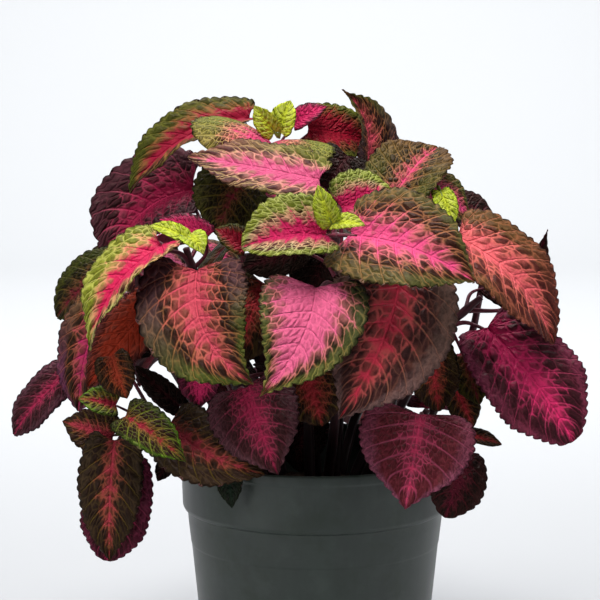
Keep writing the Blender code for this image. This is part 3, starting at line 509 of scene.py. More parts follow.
def tubeSkin(path, radius):
    # flat sides round a path, with no ends
    points, rings, sides = [], [], skins["sides"]
    for k, at in enumerate(path):
        heading = Vector(path[min(k + 1, len(path) - 1)] - path[max(k - 1, 0)]).normalized()
        across = heading.orthogonal().normalized()
        other = heading.cross(across)
        for i in range(sides):
            turn = 2 * math.pi * i / sides
            points.append(Vector(at) + radius * (math.cos(turn) * across + math.sin(turn) * other))
    for k in range(len(path) - 1):
        for i in range(sides):
            a, b = sides * k + i, sides * k + (i + 1) % sides
            rings += [(a, b, b + sides), (a, b + sides, a + sides)]
    return BVHTree.FromPolygons(points, rings)


def potSkin():
    # the pot's outside, its rim and the top of the mix as flat facets, a little outside them
    points, rings, steps = [], [], skins["potSteps"]
    for k in range(steps):
        angle = 2 * math.pi * k / steps
        for radius, height in skins["pot"]:
            points.append((radius * math.cos(angle), radius * math.sin(angle), height))
    points.append((0.0, 0.0, skins["mix"]))
    for k in range(steps):
        a, b = 3 * k, 3 * ((k + 1) % steps)
        rings += [(a, b, b + 1), (a, b + 1, a + 1), (a + 2, b + 2, 3 * steps)]
    return BVHTree.FromPolygons(points, rings)


def hiddenBehind(leaf):
    # whether the bush's dome hides the whole leaf from the front, with no gap of daylight covered
    t, v = np.array(sight["spots"]).T
    pitch, eye = plant["pitch"], plant["eye"]
    lean = np.array([0.0, math.cos(pitch), -math.sin(pitch)])
    rise = np.array([0.0, math.sin(pitch), math.cos(pitch)])
    offset = leafPoint(leaf, t, v) - plant["centre"] - eye
    seen = eye + offset * (-eye.dot(lean) / (offset @ lean))[:, None]
    right, up = seen[:, 0], seen @ rise
    middle, level, reach, height = sight["dome"]
    half, lowest, highest = sight["skirt"]
    inside = ((right - middle) / reach) ** 2 + ((up - level) / height) ** 2 < 1
    fine = inside & (up > sight["domeFoot"]) | (abs(right) < half) & (up > lowest) & (up < highest)
    for left, far, low, high in sight["daylight"]:
        fine &= ~((right > left) & (right < far) & (up > low) & (up < high))
    return bool(fine.all())


def covered(leaf, front):
    # whether the leaves in front hide nearly all of it
    eye = plant["eye"] + plant["centre"]
    t, v = np.meshgrid((0.1, 0.4, 0.7, 1.0), (-1.0, 0.0, 1.0))
    sights = (leafPoint(leaf, t.ravel(), v.ravel()) - eye).tolist()
    hits = sum(front.ray_cast(eye, Vector(s).normalized(), Vector(s).length)[0] is not None for s in sights)
    return hits > sight["covered"] * len(sights)


def grownLeaf(joint, turn, droop, size):
    # stands out from a joint of the stem and hangs by the droop
    turn, droop = math.radians(turn), math.radians(droop)
    out, rise = np.array([math.sin(turn), math.cos(turn), 0.0]), np.array([0.0, 0.0, 1.0])
    stalk, length = growth["stalk"] * size, growth["length"] * size
    base = joint + out * stalk * growth["out"] + rise * stalk * growth["rise"]
    tip = base + out * length * math.cos(droop) - rise * length * math.sin(droop)
    face = out * math.sin(droop) + rise * math.cos(droop)
    share, narrowing = growth["outline"]
    return makeLeaf(base, tip, face, (length * share, narrowing), *(growth[key] for key in ("bend", "halves", "teeth")))


def firstClear(stem, joint, wish, size, front, taken, others):
    # the first turn and droop at which the leaf and its stalk are out of sight and clear of everything
    for swing in growth["swings"]:
        for droop in growth["droops"]:
            leaf = grownLeaf(stem[joint], wish + swing, droop, size)
            if not hiddenBehind(leaf) or front and not covered(leaf, front):
                continue
            skin, stalk = leafSkin(leaf), stalkPath(stem, leaf)
            stalkSkin = tubeSkin([stalk[0] + (stalk[1] - stalk[0]) * 0.25, *stalk[1:]], skins["grownStalk"])
            everything = taken + others
            if any(skin.overlap(other) or stalkSkin.overlap(other) for other in everything):
                continue
            corners = plainSheet(leaf)[0].tolist()
            if not any(o.find_nearest(c, plant["clearance"])[0] for o in everything for c in corners):
                taken += [skin, stalkSkin]
                return leaf
    return None


def growPairs(stem, joints, size, front, taken, others, dice):
    # a pair of leaves at each joint, a quarter turn on from the last; each turns, droops or shrinks till clear
    leaves = []
    outward = math.degrees(math.atan2(stem[-1][0], stem[-1][1]))
    for pair, joint in enumerate(joints):
        for half in (0, 180):
            wish = outward + 90 * (pair % 2) + half + dice.uniform(-growth["turn"], growth["turn"])
            share = size * dice.uniform(*growth["sizes"]) * (growth["topSize"] if joint == len(stem) - 1 else 1.0)
            for smaller in growth["smaller"]:
                leaf = firstClear(stem, joint, wish, share * smaller, front, taken, others)
                if leaf:
                    leaf["joint"] = joint
                    leaves.append(leaf)
                    break
    return leaves


def layOut():
    # the listed leaves first, then the grown pairs, each clear of all that stand by then
    def fromRow(row):
        base, tip, face, *shape = row
        return makeLeaf(place(*base), place(*tip), facing(*face), *shape)

    tips = {name: [fromRow((*row, youngLook)) for row in rows] for name, rows in youngLeaves.items()}
    taken = [potSkin()] + [leafSkin(leaf) for leaves in tips.values() for leaf in leaves]
    shoots = {}
    for name, (rows, *leafRows) in leafyStems.items():
        stem, leaves = stemPath(rows), [fromRow(row) for row in leafRows]
        shoots[name] = (stem, leaves)
        taken += [leafSkin(leaf) for leaf in leaves]
        taken += [tubeSkin(stalkPath(stem, leaf), skins["stalk"]) for leaf in leaves]
    sheets, count = [], 0
    for _, leaves in shoots.values():
        for leaf in leaves:
            points, rings = plainSheet(leaf)
            sheets.append((points, rings + count))
            count += len(points)
    front = BVHTree.FromPolygons(*(np.vstack(each).tolist() for each in zip(*sheets)))
    for name, rows in {**sideStems, **backStems}.items():
        shoots[name] = (stemPath(rows), [])
    stems = {name: tubeSkin(stem, skins["stem"]) for name, (stem, _) in shoots.items()}
    dice = random.Random(plant["seed"])
    for name, (joints, size) in grownPairs.items():
        stem, leaves = shoots[name]
        others = [skin for other, skin in stems.items() if other != name]
        leaves += growPairs(stem, joints, size, None if name in backStems else front, taken, others, dice)
    return shoots, tips


shoots, tips = layOut()
print("coleus: laid out", sum(len(leaves) for _, leaves in shoots.values()), "leaves on", len(shoots), "stems")

# Leaf colours: centre, cells, margin near the base, margin near the tip and fine veins, and how strongly
# the fine veins show
palettes = {
    "lime": ("#a4ae2c", "#84921c", "#9aa82c", "#94a024", "#c0c468", 0.35),
    "limeEdge": ("#b41c48", "#32160f", "#5c641c", "#667020", "#ccc678", 0.95),
    "limePink": ("#c43c68", "#3a1a10", "#566320", "#5a5424", "#b8a65c", 0.95),
    "limeRed": ("#a81c4c", "#3a1216", "#5e6422", "#666a20", "#c8c688", 0.95),
    "crimsonLime": ("#8a1228", "#260c0a", "#444f18", "#444f18", "#806838", 0.55),
    "crimsonOlive": ("#84142e", "#2e0e10", "#343610", "#363c0e", "#807a34", 0.6),
    "oliveNet": ("#c84472", "#2a140c", "#4a4222", "#3e421e", "#ac7048", 0.7),
    "greenNet": ("#b83860", "#241e10", "#343a18", "#42301a", "#94703e", 0.65),
    "pinkOlive": ("#cc5a80", "#1a180a", "#3a4020", "#545a24", "#a87a44", 0.7),
    "pinkTan": ("#b84a70", "#402024", "#50501e", "#643e38", "#c4aa70", 0.75),
    "salmon": ("#cc585e", "#421e1a", "#4e3c1e", "#502820", "#bc6850", 0.7),
    "purpleNet": ("#b84454", "#26130f", "#482c32", "#3e4418", "#a46c40", 0.6),
    "duskNet": ("#b83246", "#30161a", "#543a38", "#583c40", "#96604c", 0.3),
    "wineNet": ("#be285c", "#320f18", "#5e2236", "#581f30", "#943450", 0.22),
    "magenta": ("#ac2050", "#501224", "#401822", "#401822", "#a84464", 0.35),
    "wine": ("#b03456", "#4c1c24", "#603040", "#663a4c", "#9c4660", 0.08),
    "emberLit": ("#8c2c1a", "#481810", "#4c1c14", "#4c2824", "#984838", 0.3),
    "ember": ("#942a30", "#1c100a", "#2a2410", "#2c1c12", "#5c4a22", 0.3),
    "emberGreen": ("#821c2c", "#20120e", "#222a0e", "#466a18", "#7c8a2c", 0.6),
    "olive": ("#541620", "#141206", "#24280a", "#2a2a0c", "#544c1c", 0.5),
    "dark": ("#4c1222", "#110908", "#22100f", "#22100f", "#461a1e", 0.35),
    "darkGreen": ("#12201a", "#0e1a16", "#122016", "#122016", "#1c2e20", 0.3),
    "mauveRed": ("#8e1c40", "#2a1216", "#3c2026", "#361a20", "#9a4458", 0.22),
    "brownRose": ("#982450", "#281a10", "#4a3622", "#562840", "#a05c38", 0.5),
    "emberBrown": ("#84301f", "#1c100b", "#2a2012", "#2c1e10", "#7a4422", 0.35),
    "emberRose": ("#94303c", "#20140e", "#2a2014", "#281c12", "#62501f", 0.28),
    "plum": ("#8a2040", "#2e1418", "#43242c", "#43282e", "#6e3040", 0.12),
    "shade": ("#2c0c12", "#0c0806", "#120b09", "#120b09", "#22100e", 0.2),
}
# looks of the grown leaves, high and low on their stems; one well inside the bush and low is in shade
outerLooks = (("limeEdge", 0.6, 0.4), ("oliveNet", 0.4, 0.4), ("purpleNet", 0.45, 0.4), ("pinkOlive", 0.7, 0.35))
innerLooks = (
    ("duskNet", 0.4, 0.4), ("wineNet", 0.45, 0.4), ("ember", 0.35, 0.4), ("wine", 0.4, 0.4), ("olive", 0.3, 0.5),
)
inShade = {"radius": 75, "height": 235, "look": ("shade", 0.25, 0.3)}

leafForm = {
    "step": 0.9,  # mm between rows along the blade
    "column": 2.6,  # mm between columns across it
    "faces": 980,  # rows times half the columns at most, which keeps a leaf under 8,000 triangles
    "coarse": {"listed": 1.0, "grown": 1.45, "young": 0.6},  # how many times wider the mesh's steps are
    "thickness": 0.45,
    "toothLength": 4.0,
    "toothDepth": 2.3,
    "toothShare": 0.042,  # of the width, the most that the teeth of a narrow leaf stand out
    "quilt": 1.75,
    "groove": 0.7,
    "grooveWidth": 1.6,
    "rib": 0.9,  # height and width of the midrib underneath
    "ribWidth": 0.9,
    "sideRib": 0.25,
    "wave": 1.3,
    "waves": 2.3,
    "veinSlant": 0.38,
    "veinSpacing": 12.5,
    "fullRelief": 70.0,  # mm, the length from which a leaf has the full relief
    "fullLength": 85.0,  # mm, where the cells reach their full size; a shorter leaf has finer ones
    "cellGrowth": (1.4, 0.85, 2.3),  # how fast the cells get finer, and their least and most
}


def leafPart(leaf, look, seed, coarse):
    # A closed shell round the bent sheet P(t, v). Teeth: the margin moves out by |sin(pi n t)|^0.7. Relief
    # along the normal: quilt * |sin(pi phase)| between side veins, less a groove at the midrib, plus a wave
    # that grows as v^2. The phase n (t - slant |v|) is whole on each side vein.
    form, length, width = leafForm, leaf["length"], leaf["width"]
    dice = random.Random(seed)
    half = int(np.clip(round(width * 0.5 / (form["column"] * coarse)), 3, 10))
    rows = int(np.clip(round(length * 1.1 / (form["step"] * coarse)), 16, form["faces"] / half))
    s = np.linspace(0, 1, rows + 1)[1:-1, None]
    t = s - 0.35 * np.sin(2 * np.pi * s) / (2 * np.pi)  # rows stand closer at both ends
    lane = np.linspace(-1, 1, 2 * half + 1)[None, :]
    v = np.sign(lane) * np.abs(lane) ** 0.85
    wide = halfWidth(leaf, t)
    teeth = max(6, round(length / form["toothLength"]))
    depth = min(form["toothDepth"], form["toothShare"] * width)
    scallop = np.abs(np.sin(np.pi * (teeth * t + 0.15 * np.sign(v)))) ** 0.7 - 0.6
    tooth = 0.045 + depth * scallop / np.maximum(wide, 4.0) * smooth(0.6, 1.0, np.abs(v))
    points = leafPoint(leaf, t + 0 * v, v + 0 * t, tooth)
    normals = unit(np.cross(np.gradient(points, axis=1), np.gradient(points, axis=0)))
    count = max(5, round(length / form["veinSpacing"])) + 1
    phase = count * (t - form["veinSlant"] * np.abs(v) ** 1.15 * (1 - 0.4 * t)) + 0.5
    mid = wide * np.abs(v)
    scale = min(1.0, length / form["fullRelief"])
    puffed = np.abs(np.sin(np.pi * phase))
    quilt = form["quilt"] * scale * puffed**0.8 * smooth(0.02, 0.35, np.abs(v)) * (1 - 0.55 * np.abs(v))
    groove = form["groove"] * scale * bell(mid, form["grooveWidth"]) * (1 - t)
    swing = dice.uniform(0, 6.28)
    turns = 2 * np.pi * (form["waves"] * t * length / form["fullRelief"]) + swing + 1.3 * np.sign(v)
    wave = form["wave"] * scale * v**2 * np.sin(turns) * np.sqrt(t * (1 - t)) * 2
    relief = quilt - groove + wave
    shell = form["thickness"] * 0.5 * np.sqrt(np.clip(1 - v**4, 0, 1)) + 0 * t
    rib = form["rib"] * scale * bell(mid, form["ribWidth"]) * (1 - 0.8 * t)
    rib = rib + form["sideRib"] * bell(puffed, 0.25) * (1 - np.abs(v))
    top = points + (relief + shell)[..., None] * normals
    under = points + (relief - shell - rib * (np.abs(v) < 0.99))[..., None] * normals
    ends = leafPoint(leaf, np.array([0.0, 1.0]), np.zeros(2))
    n, m = rows - 1, 2 * half
    total = 2 + 2 * n * m
    grid = 2 + np.arange(n * (m + 1)).reshape(n, m + 1)
    below = grid.copy()
    below[:, 1:-1] = 2 + n * (m + 1) + np.arange(n * (m - 1)).reshape(n, m - 1)

    def quads(g):
        return np.stack([g[:-1, :-1], g[:-1, 1:], g[1:, 1:], g[1:, :-1]], -1).reshape(-1, 4)

    def fans(g):
        first = np.stack([np.zeros(m, int), g[0, 1:], g[0, :-1]], -1)
        return np.vstack([first, np.stack([np.ones(m, int), g[-1, :-1], g[-1, 1:]], -1)])

    def spread(field):
        # a value for each corner: both poles, the upper grid, then the inner columns of the lower one
        field = np.broadcast_to(field, (n, m + 1))
        return np.concatenate([[field[0, half], field[-1, half]], field.ravel(), field[:, 1:-1].ravel()])

    # zones: centre colour above 0.5, shrinking toward the tip, and margin above 0.5
    name, reach, margin, lean = (*look, 0.0)[:4]
    stretch = reach * (1.15 - 0.85 * t) ** 0.9
    uneven = 1 + dice.uniform(-0.12, 0.12) * np.sign(v) - 0.3 * lean * np.sign(v)
    gather = 1 - (1 - np.minimum(1, wide / (0.36 * width))) * (1 - smooth(0.2, 0.45, t))
    pink = 0.5 + (stretch * uneven * (1 - 0.35 * smooth(0.75, 1.0, t)) - np.abs(v) * gather) * 1.3
    edge = np.maximum(np.abs(v), smooth(0.55, 1.25, t))
    rim = 0.5 + (edge - (1 - margin * 0.8 * (1 + lean * np.sign(v)))) * 2.2
    gap = length / count * 0.72  # mm between side veins, square to them
    seedPlace = (seed * 7.31) % 97
    power, least, most = form["cellGrowth"]
    finer = float(np.clip((form["fullLength"] / length) ** power, least, most))
    places = {
        "flatPlace": (t * length, wide * v, seedPlace),
        "veinPlace": (phase, gap, mid),
        "cellPlace": (phase * gap * finer, 0.95 * mid * finer, seedPlace),
        "zones": (pink, rim, np.abs(v)),
    }
    marks = {key: np.stack([spread(field) for field in fields], -1) for key, fields in places.items()}
    shift = np.array([dice.uniform(0.88, 1.12) for _ in range(3)] + [1.0])
    *colours, strength = palettes[name]
    centre, cell, nearBase, nearTip, vein = (np.array(linearColour(code)) for code in colours)
    along = smooth(0.2, 0.8, spread(t))[:, None]
    marks["centreColour"] = np.tile(centre, (total, 1))
    marks["cellColour"] = np.tile(cell * shift, (total, 1))
    marks["marginColour"] = (nearBase * (1 - along) + nearTip * along) * shift
    marks["veinColour"] = np.tile((*vein[:3], strength), (total, 1))
    corners = np.vstack([ends, top.reshape(-1, 3), under[:, 1:-1].reshape(-1, 3)])
    faces = [(quads(grid), 0), (fans(grid), 0), (quads(below)[:, ::-1], 1), (fans(below)[:, ::-1], 1)]
    return {"points": corners, "faces": faces, "marks": marks}


# colours of stems and stalks are those of the ribs and of the skin between them
stemForm = {
    "base": 3.8,  # radii in mm at the foot and the top
    "tip": 2.2,
    "squareness": 3.4,
    "sides": 16,
    "steps": 60,
    "swell": 0.22,  # how much wider a joint is, at most how many times that, and how far it reaches in mm
    "swellMost": 1.2,
    "swellLength": 4.5,
    "colours": ("#4a1a26", "#2c1016"),
}
stalkSkin = {
    "base": 1.8,
    "tip": 0.8,
    "squareness": 2.4,
    "sides": 10,
    "steps": 14,
    "thin": (0.55, 130),  # a small leaf's stalk is thinner: this share plus its length over so many mm
    "heel": (1.35, 1.2, 1.08),  # widening over the first steps from the joint
    "ends": ((0.03, 0.12), (1.7, 1.9)),  # where it ends along the midrib, and how many mm below it
    "colours": ("#6c1a30", "#401420"),
}
stubForm = {
    "base": 1.4,  # the short stalks of the young leaves
    "tip": 0.7,
    "squareness": 2.4,
    "sides": 8,
    "steps": 8,
    "sunk": 4,  # mm that the first one starts below the leaves' foot; the next starts 1 mm higher
    "ends": ((0.05, 0.2), 0.4),
    "colours": ("#75852a", "#586622"),
}


def tubePart(path, radii, form, seed):
    # a profile carried along a path: r / (|cos a|^p + |sin a|^p)^(1/p), round for p = 2 and squarer above
    squareness, sides = form["squareness"], form["sides"]
    path = np.asarray(path)
    heading = unit(np.gradient(path, axis=0))
    guide = np.array([0.31, 0.87, 0.12]) if abs(heading[:, 2]).mean() > 0.5 else np.array([0.1, 0.2, 1.0])
    across = unit(np.cross(heading, guide))
    other = np.cross(heading, across)
    angle = np.arange(sides) * 2 * np.pi / sides
    c, s = np.cos(angle), np.sin(angle)
    profile = (np.abs(c) ** squareness + np.abs(s) ** squareness) ** (-1 / squareness)
    profile = profile / profile.max()
    turned = c[None, :, None] * across[:, None] + s[None, :, None] * other[:, None]
    points = (path[:, None] + radii[:, None, None] * profile[None, :, None] * turned).reshape(-1, 3)
    n = len(path)
    last = n * sides
    grid = np.arange(last).reshape(n, sides)
    after = np.roll(grid, -1, axis=1)
    quads = np.stack([grid[:-1], after[:-1], after[1:], grid[1:]], -1).reshape(-1, 4)
    foot = np.stack([np.full(sides, last), after[0], grid[0]], -1)
    head = np.stack([np.full(sides, last + 1), grid[-1], after[-1]], -1)
    points = np.vstack([points, path[0], path[-1]])
    run = np.concatenate([[0], np.cumsum(np.linalg.norm(np.diff(path, axis=0), axis=1))])
    along = np.concatenate([np.repeat(run, sides), [0.0, run[-1]]])
    around = np.concatenate([np.tile(angle, n), [0.0, 0.0]]) * radii.mean()
    flat = np.stack([along, around, np.full(len(points), (seed * 3.7) % 89)], -1)
    marks = {"flatPlace": flat, **{key: np.zeros_like(flat) for key in ("veinPlace", "cellPlace", "zones")}}
    ribs, skin = form["colours"]  # a tube has no margin or veins, so these take its skin
    for key, code in (("centreColour", ribs), ("cellColour", skin), ("marginColour", skin), ("veinColour", skin)):
        marks[key] = np.tile(linearColour(code), (len(points), 1))
    return {"points": points, "faces": [(quads, 2), (np.vstack([foot, head]), 2)], "marks": marks}


def stemParts(stem, leaves, seed):
    # the square stem swells at its joints, and each stalk bows from its joint in under its leaf
    form, skin = stemForm, stalkSkin
    fine = np.vstack([stem[0], smoothPath(stem[1:], form["steps"])])
    parts, starts = [], []
    for k, leaf in enumerate(leaves):
        path = stalkPath(stem, leaf)
        starts.append(path[0])
        spots, drops = np.array(skin["ends"])
        ending = midrib(leaf, spots)[0] - leaf["normal"] * drops[:, None]
        curve = np.vstack([smoothPath(path, skin["steps"])[:-1], ending])
        least, longest = skin["thin"]
        thick = np.linspace(skin["base"], skin["tip"], len(curve)) * min(1.0, least + leaf["length"] / longest)
        thick[: len(skin["heel"])] *= skin["heel"]
        parts.append(tubePart(curve, thick, skin, seed + k))
    swell = sum(bell(np.linalg.norm(fine - at, axis=1), form["swellLength"]) for at in starts)
    radii = form["base"] + (form["tip"] - form["base"]) * np.linspace(0, 1, len(fine))
    radii = radii * (1 + form["swell"] * np.minimum(swell, form["swellMost"]))
    return [tubePart(fine, radii, form, seed)] + parts


def leafSurface(name, upper):
    # Living coleus leaf: a soft satin cuticle over quilted cells, so broad dull highlights that break up
    # on the puffed cells, with colour that bleeds out from the centre along the veins. The underside is
    # paler, greyer and more matt, with the same veins standing proud.
    made, tree = newMaterial(name)
    flat, inRows, veinPlace, zonePlace = (
        addNode(tree, "Attribute", {"attribute_name": key}).outputs["Vector"]
        for key in ("flatPlace", "cellPlace", "veinPlace", "zones")
    )
    veins, zones = (addNode(tree, "SeparateXYZ", links={0: each}).outputs for each in (veinPlace, zonePlace))
    colour = {
        key: addNode(tree, "Attribute", {"attribute_name": key + "Colour"})
        for key in ("centre", "cell", "margin", "vein")
    }
    times, plus, larger, scaled, dimmed = (
        {"operation": each} for each in ("MULTIPLY", "ADD", "MAXIMUM", "MULTIPLY_ADD", "SCALE")
    )

    # cells about 5 mm across that stand in rows between the side veins, and feathering about 5 mm long;
    # the specks are drawn at 1.6 mm and the grain at 1.1 mm to show
    bent = addNode(tree, "TexNoise", {"Scale": 0.2, "Detail": 2.0}, {"Vector": flat}).outputs["Color"]
    pushed = addNode(tree, "VectorMath", {**scaled, 1: (2.4, 2.4, 0.0)}, {0: bent, 2: inRows})
    cells = addNode(
        tree, "TexVoronoi", {"feature": "DISTANCE_TO_EDGE", "Scale": 1 / 5.0, "Randomness": 0.8}, {"Vector": pushed}
    )
    feather = addNode(tree, "TexNoise", {"Scale": 1 / 5.0, "Detail": 3.0, "Roughness": 0.6}, {"Vector": flat})
    speck = addNode(tree, "TexNoise", {"Scale": 1 / 1.6, "Detail": 2.0}, {"Vector": flat})
    grain = addNode(tree, "TexNoise", {"Scale": 1 / 1.1, "Detail": 2.0}, {"Vector": flat})

    # distance in mm to the nearest side vein, as a soft line that narrows outward
    side = addNode(tree, "Math", {"operation": "PINGPONG", 1: 0.5}, {0: veins["X"]})
    sideMm = addNode(tree, "Math", times, {0: side, 1: veins["Y"]})
    sideWidth = addNode(tree, "Math", {**scaled, 1: -0.55, 2: 0.95}, {0: zones["Z"]})
    soft = {"interpolation_type": "SMOOTHSTEP"}
    outward = {"Value": sideMm, "From Max": sideWidth}
    sideLine = addNode(tree, "MapRange", {**soft, "From Min": 0.1, "To Min": 1.0, "To Max": 0.0}, outward)

    # soft steps of the distances: value at the start and at the end, and what the step gives there
    limits = ("From Min", "From Max", "To Min", "To Max")
    steps = {
        "rib": (veins["Z"], 0.35, 1.1, 1.0, 0.0),
        "net": (cells, 0.005, 0.07, 0.62, 0.0),
        "core": (cells, 0.015, 0.13, 0.0, 1.0),
        "puff": (cells, 0.0, 0.4, 0.0, 1.0),
    }
    ribLine, netLine, core, puff = (
        addNode(tree, "MapRange", {**soft, **dict(zip(limits, values))}, {"Value": of})
        for of, *values in steps.values()
    )
    mainLine = addNode(tree, "Math", larger, {0: sideLine, 1: ribLine})

    # straight ramps: how far the centre bleeds along a vein, then lighter and darker tones of each part
    ramps = {
        "halo": (sideMm, 0.0, 3.4, 0.13, -0.08),
        "dim": (core, 0.0, 1.0, 1.15, 0.92),
        "fleck": (speck, 0.3, 0.7, 0.65, 1.3),
        "edgeLine": (core, 0.0, 1.0, 0.3, 0.0),
        "lit": (mainLine, 0.0, 1.0, 0.93, 1.12),
        "puffed": (core, 0.0, 1.0, 1.04, 0.97),
        "mottled": (speck, 0.3, 0.7, 0.88, 1.12),
        "rough": (speck, 0.0, 1.0, *((0.4, 0.6) if upper else (0.6, 0.75))),
    }
    halo, dim, fleck, edgeLine, lit, puffed, mottled, rough = (
        addNode(tree, "MapRange", dict(zip(limits, values)), {"Value": of})
        for of, *values in ramps.values()
    )

    # centre colour bleeds outward along the veins through a warm border, margin colour inward in blotches
    loose = addNode(tree, "Math", {**scaled, 1: 0.76, 2: -0.38}, {0: feather})
    bled = addNode(tree, "Math", plus, {0: halo, 1: loose})
    cored = addNode(tree, "Math", {**scaled, 1: -0.12}, {0: core, 2: bled})
    veined = addNode(tree, "Math", {**scaled, 1: 0.1}, {0: mainLine, 2: cored})
    reach = addNode(tree, "Math", plus, {0: veined, 1: zones["X"]})
    blotch = addNode(tree, "Math", {**scaled, 1: 1.0, 2: -0.5}, {0: feather})
    rim = addNode(tree, "Math", plus, {0: blotch, 1: zones["Y"]})
    centre = addNode(tree, "MapRange", {**soft, "From Min": 0.40, "From Max": 0.80}, {"Value": reach})
    warm = addNode(tree, "MapRange", {**soft, "From Min": 0.12, "From Max": 0.48, "To Max": 0.85}, {"Value": reach})
    margin = addNode(tree, "MapRange", {**soft, "From Min": 0.35, "From Max": 0.85}, {"Value": rim})

    blend = {"data_type": "RGBA"}  # sockets 0, 6 and 7 are its share and two colours, output 2 the result
    base = addNode(tree, "Mix", blend, {0: margin, 6: colour["cell"], 7: colour["margin"]}).outputs[2]
    for tone in (dim, fleck):
        base = addNode(tree, "VectorMath", dimmed, {0: base, "Scale": tone})

    # fine veins fade and take the margin's own paler colour near the edge
    fade = addNode(tree, "Math", {**scaled, 1: -0.2, 2: 1.0}, {0: margin})
    faded = addNode(tree, "Math", times, {0: fade, 1: colour["vein"].outputs["Alpha"]})
    net = addNode(tree, "Math", larger, {0: netLine, 1: edgeLine})
    net = addNode(tree, "Math", times, {0: net, 1: faded})
    strong = addNode(tree, "Math", times, {0: mainLine, 1: fade})
    strong = addNode(tree, "Math", {**times, 1: 0.6}, {0: strong})
    share = addNode(tree, "Math", larger, {0: net, 1: strong})
    pale = addNode(tree, "VectorMath", {**dimmed, "Scale": 2.6}, {0: colour["margin"]})
    aged = addNode(tree, "Math", {**times, 1: 0.45}, {0: margin})
    netColour = addNode(tree, "Mix", blend, {0: aged, 6: colour["vein"], 7: pale}).outputs[2]
    base = addNode(tree, "Mix", blend, {0: share, 6: base, 7: netColour}).outputs[2]

    # a warm border rings the centre, whose own tone follows the veins, cells and specks
    hollow = addNode(tree, "Math", {**scaled, 1: -0.55, 2: 1.0}, {0: core})
    border = addNode(tree, "Math", times, {0: warm, 1: hollow})
    borderColour = addNode(tree, "Mix", {**blend, 0: 0.42}, {6: colour["centre"], 7: colour["vein"]}).outputs[2]
    base = addNode(tree, "Mix", blend, {0: border, 6: base, 7: borderColour}).outputs[2]
    for tone in (puffed, mottled):
        lit = addNode(tree, "Math", times, {0: lit, 1: tone})
    heart = addNode(tree, "VectorMath", dimmed, {0: colour["centre"], "Scale": lit})
    base = addNode(tree, "Mix", blend, {0: centre, 6: base, 7: heart}).outputs[2]
    if not upper:
        base = addNode(tree, "Mix", {**blend, 0: 0.4, 7: linearColour("#6c424c")}, {6: base}).outputs[2]

    # cells puff up between the veins, over a fine grain
    sunk = addNode(tree, "Math", {**scaled, 1: -0.8}, {0: mainLine, 2: puff})
    height = addNode(tree, "Math", {**scaled, 1: 0.35}, {0: grain, 2: sunk})
    depth = {"Strength": 0.85, "Distance": 0.0011} if upper else {"Strength": 0.5, "Distance": -0.0003}
    bump = addNode(tree, "Bump", depth, {"Height": height})
    cuticle = {
        "IOR": 1.45,
        "Specular IOR Level": 0.14 if upper else 0.12,
        "Specular Tint": linearColour("#ffd0c0"),
        "Sheen Weight": 0.015,
        "Sheen Roughness": 0.4,
        "Sheen Tint": linearColour("#e8d0d0"),
    }
    shader = addNode(tree, "BsdfPrincipled", cuticle, {"Base Color": base, "Roughness": rough, "Normal": bump})
    addNode(tree, "OutputMaterial", links={"Surface": shader})
    return made


def stemSurface():
    # Fleshy square coleus stem: purple-brown skin, satin, with fine ribs along it, and darker toward the foot, partly
    # woodier skin and partly painted shade under the leaves
    made, tree = newMaterial("fleshyStemSkin")
    flat, cell, centre = (
        addNode(tree, "Attribute", {"attribute_name": key}).outputs[kind]
        for key, kind in (("flatPlace", "Vector"), ("cellColour", "Color"), ("centreColour", "Color"))
    )
    long = addNode(tree, "Mapping", {"Scale": (0.12, 1.2, 1.0)}, {"Vector": flat})
    streak = addNode(tree, "TexNoise", {"Scale": 1.0, "Detail": 3.0}, {"Vector": long})
    share = addNode(tree, "MapRange", {"From Min": 0.35, "From Max": 0.65}, {"Value": streak})
    base = addNode(tree, "Mix", {"data_type": "RGBA"}, {0: share, 6: cell, 7: centre}).outputs[2]
    up = addNode(tree, "SeparateXYZ", links={0: addNode(tree, "TexCoord").outputs["Object"]}).outputs["Z"]
    # painted shade with woodier skin: below 0.24 m the colour falls to 0.22 of itself by 0.17 m, deep inside the bush
    darker = {"From Min": 0.17, "From Max": 0.24, "To Min": 0.22, "To Max": 1.0}
    woodAndPaintedShade = addNode(tree, "MapRange", darker, {"Value": up})
    base = addNode(tree, "VectorMath", {"operation": "SCALE"}, {0: base, "Scale": woodAndPaintedShade})
    bump = addNode(tree, "Bump", {"Strength": 0.4, "Distance": 0.0003}, {"Height": streak})
    skin = {
        "Roughness": 0.48,
        "IOR": 1.42,
        "Specular IOR Level": 0.4,
        "Sheen Weight": 0.1,
        "Sheen Tint": linearColour("#e0c8cc"),
    }
    shader = addNode(tree, "BsdfPrincipled", skin, {"Base Color": base, "Normal": bump})
    addNode(tree, "OutputMaterial", links={"Surface": shader})
    return made


leafMaterials = [leafSurface("livingLeafUpperSide", True), leafSurface("livingLeafUnderside", False), stemSurface()]
coarse = leafForm["coarse"]
dice = random.Random(5)
worst = 0.0
for number, (name, (stem, leaves)) in enumerate(shoots.items()):
    parts = stemParts(stem, leaves, number * 40)
    for k, leaf in enumerate(leaves):
        grown, tip = leaf["look"] is None, leaf["tip"]
        look = leaf["look"] or dice.choice(outerLooks if leaf["joint"] >= growth["outerJoint"] else innerLooks)
        if grown and np.hypot(*tip[:2]) < inShade["radius"] and tip[2] < inShade["height"]:
            look = inShade["look"]
        parts.append(leafPart(leaf, look, number * 40 + k, coarse["grown" if grown else "listed"]))
    piece = makePiece(name + "_leaves", parts, leafMaterials)
    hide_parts(name)
    low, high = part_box(name)
    mine = np.concatenate([part["points"] for part in parts]) * mm
    worst = max(worst, np.abs(mine.min(0) - low).max(), np.abs(mine.max(0) - high).max())
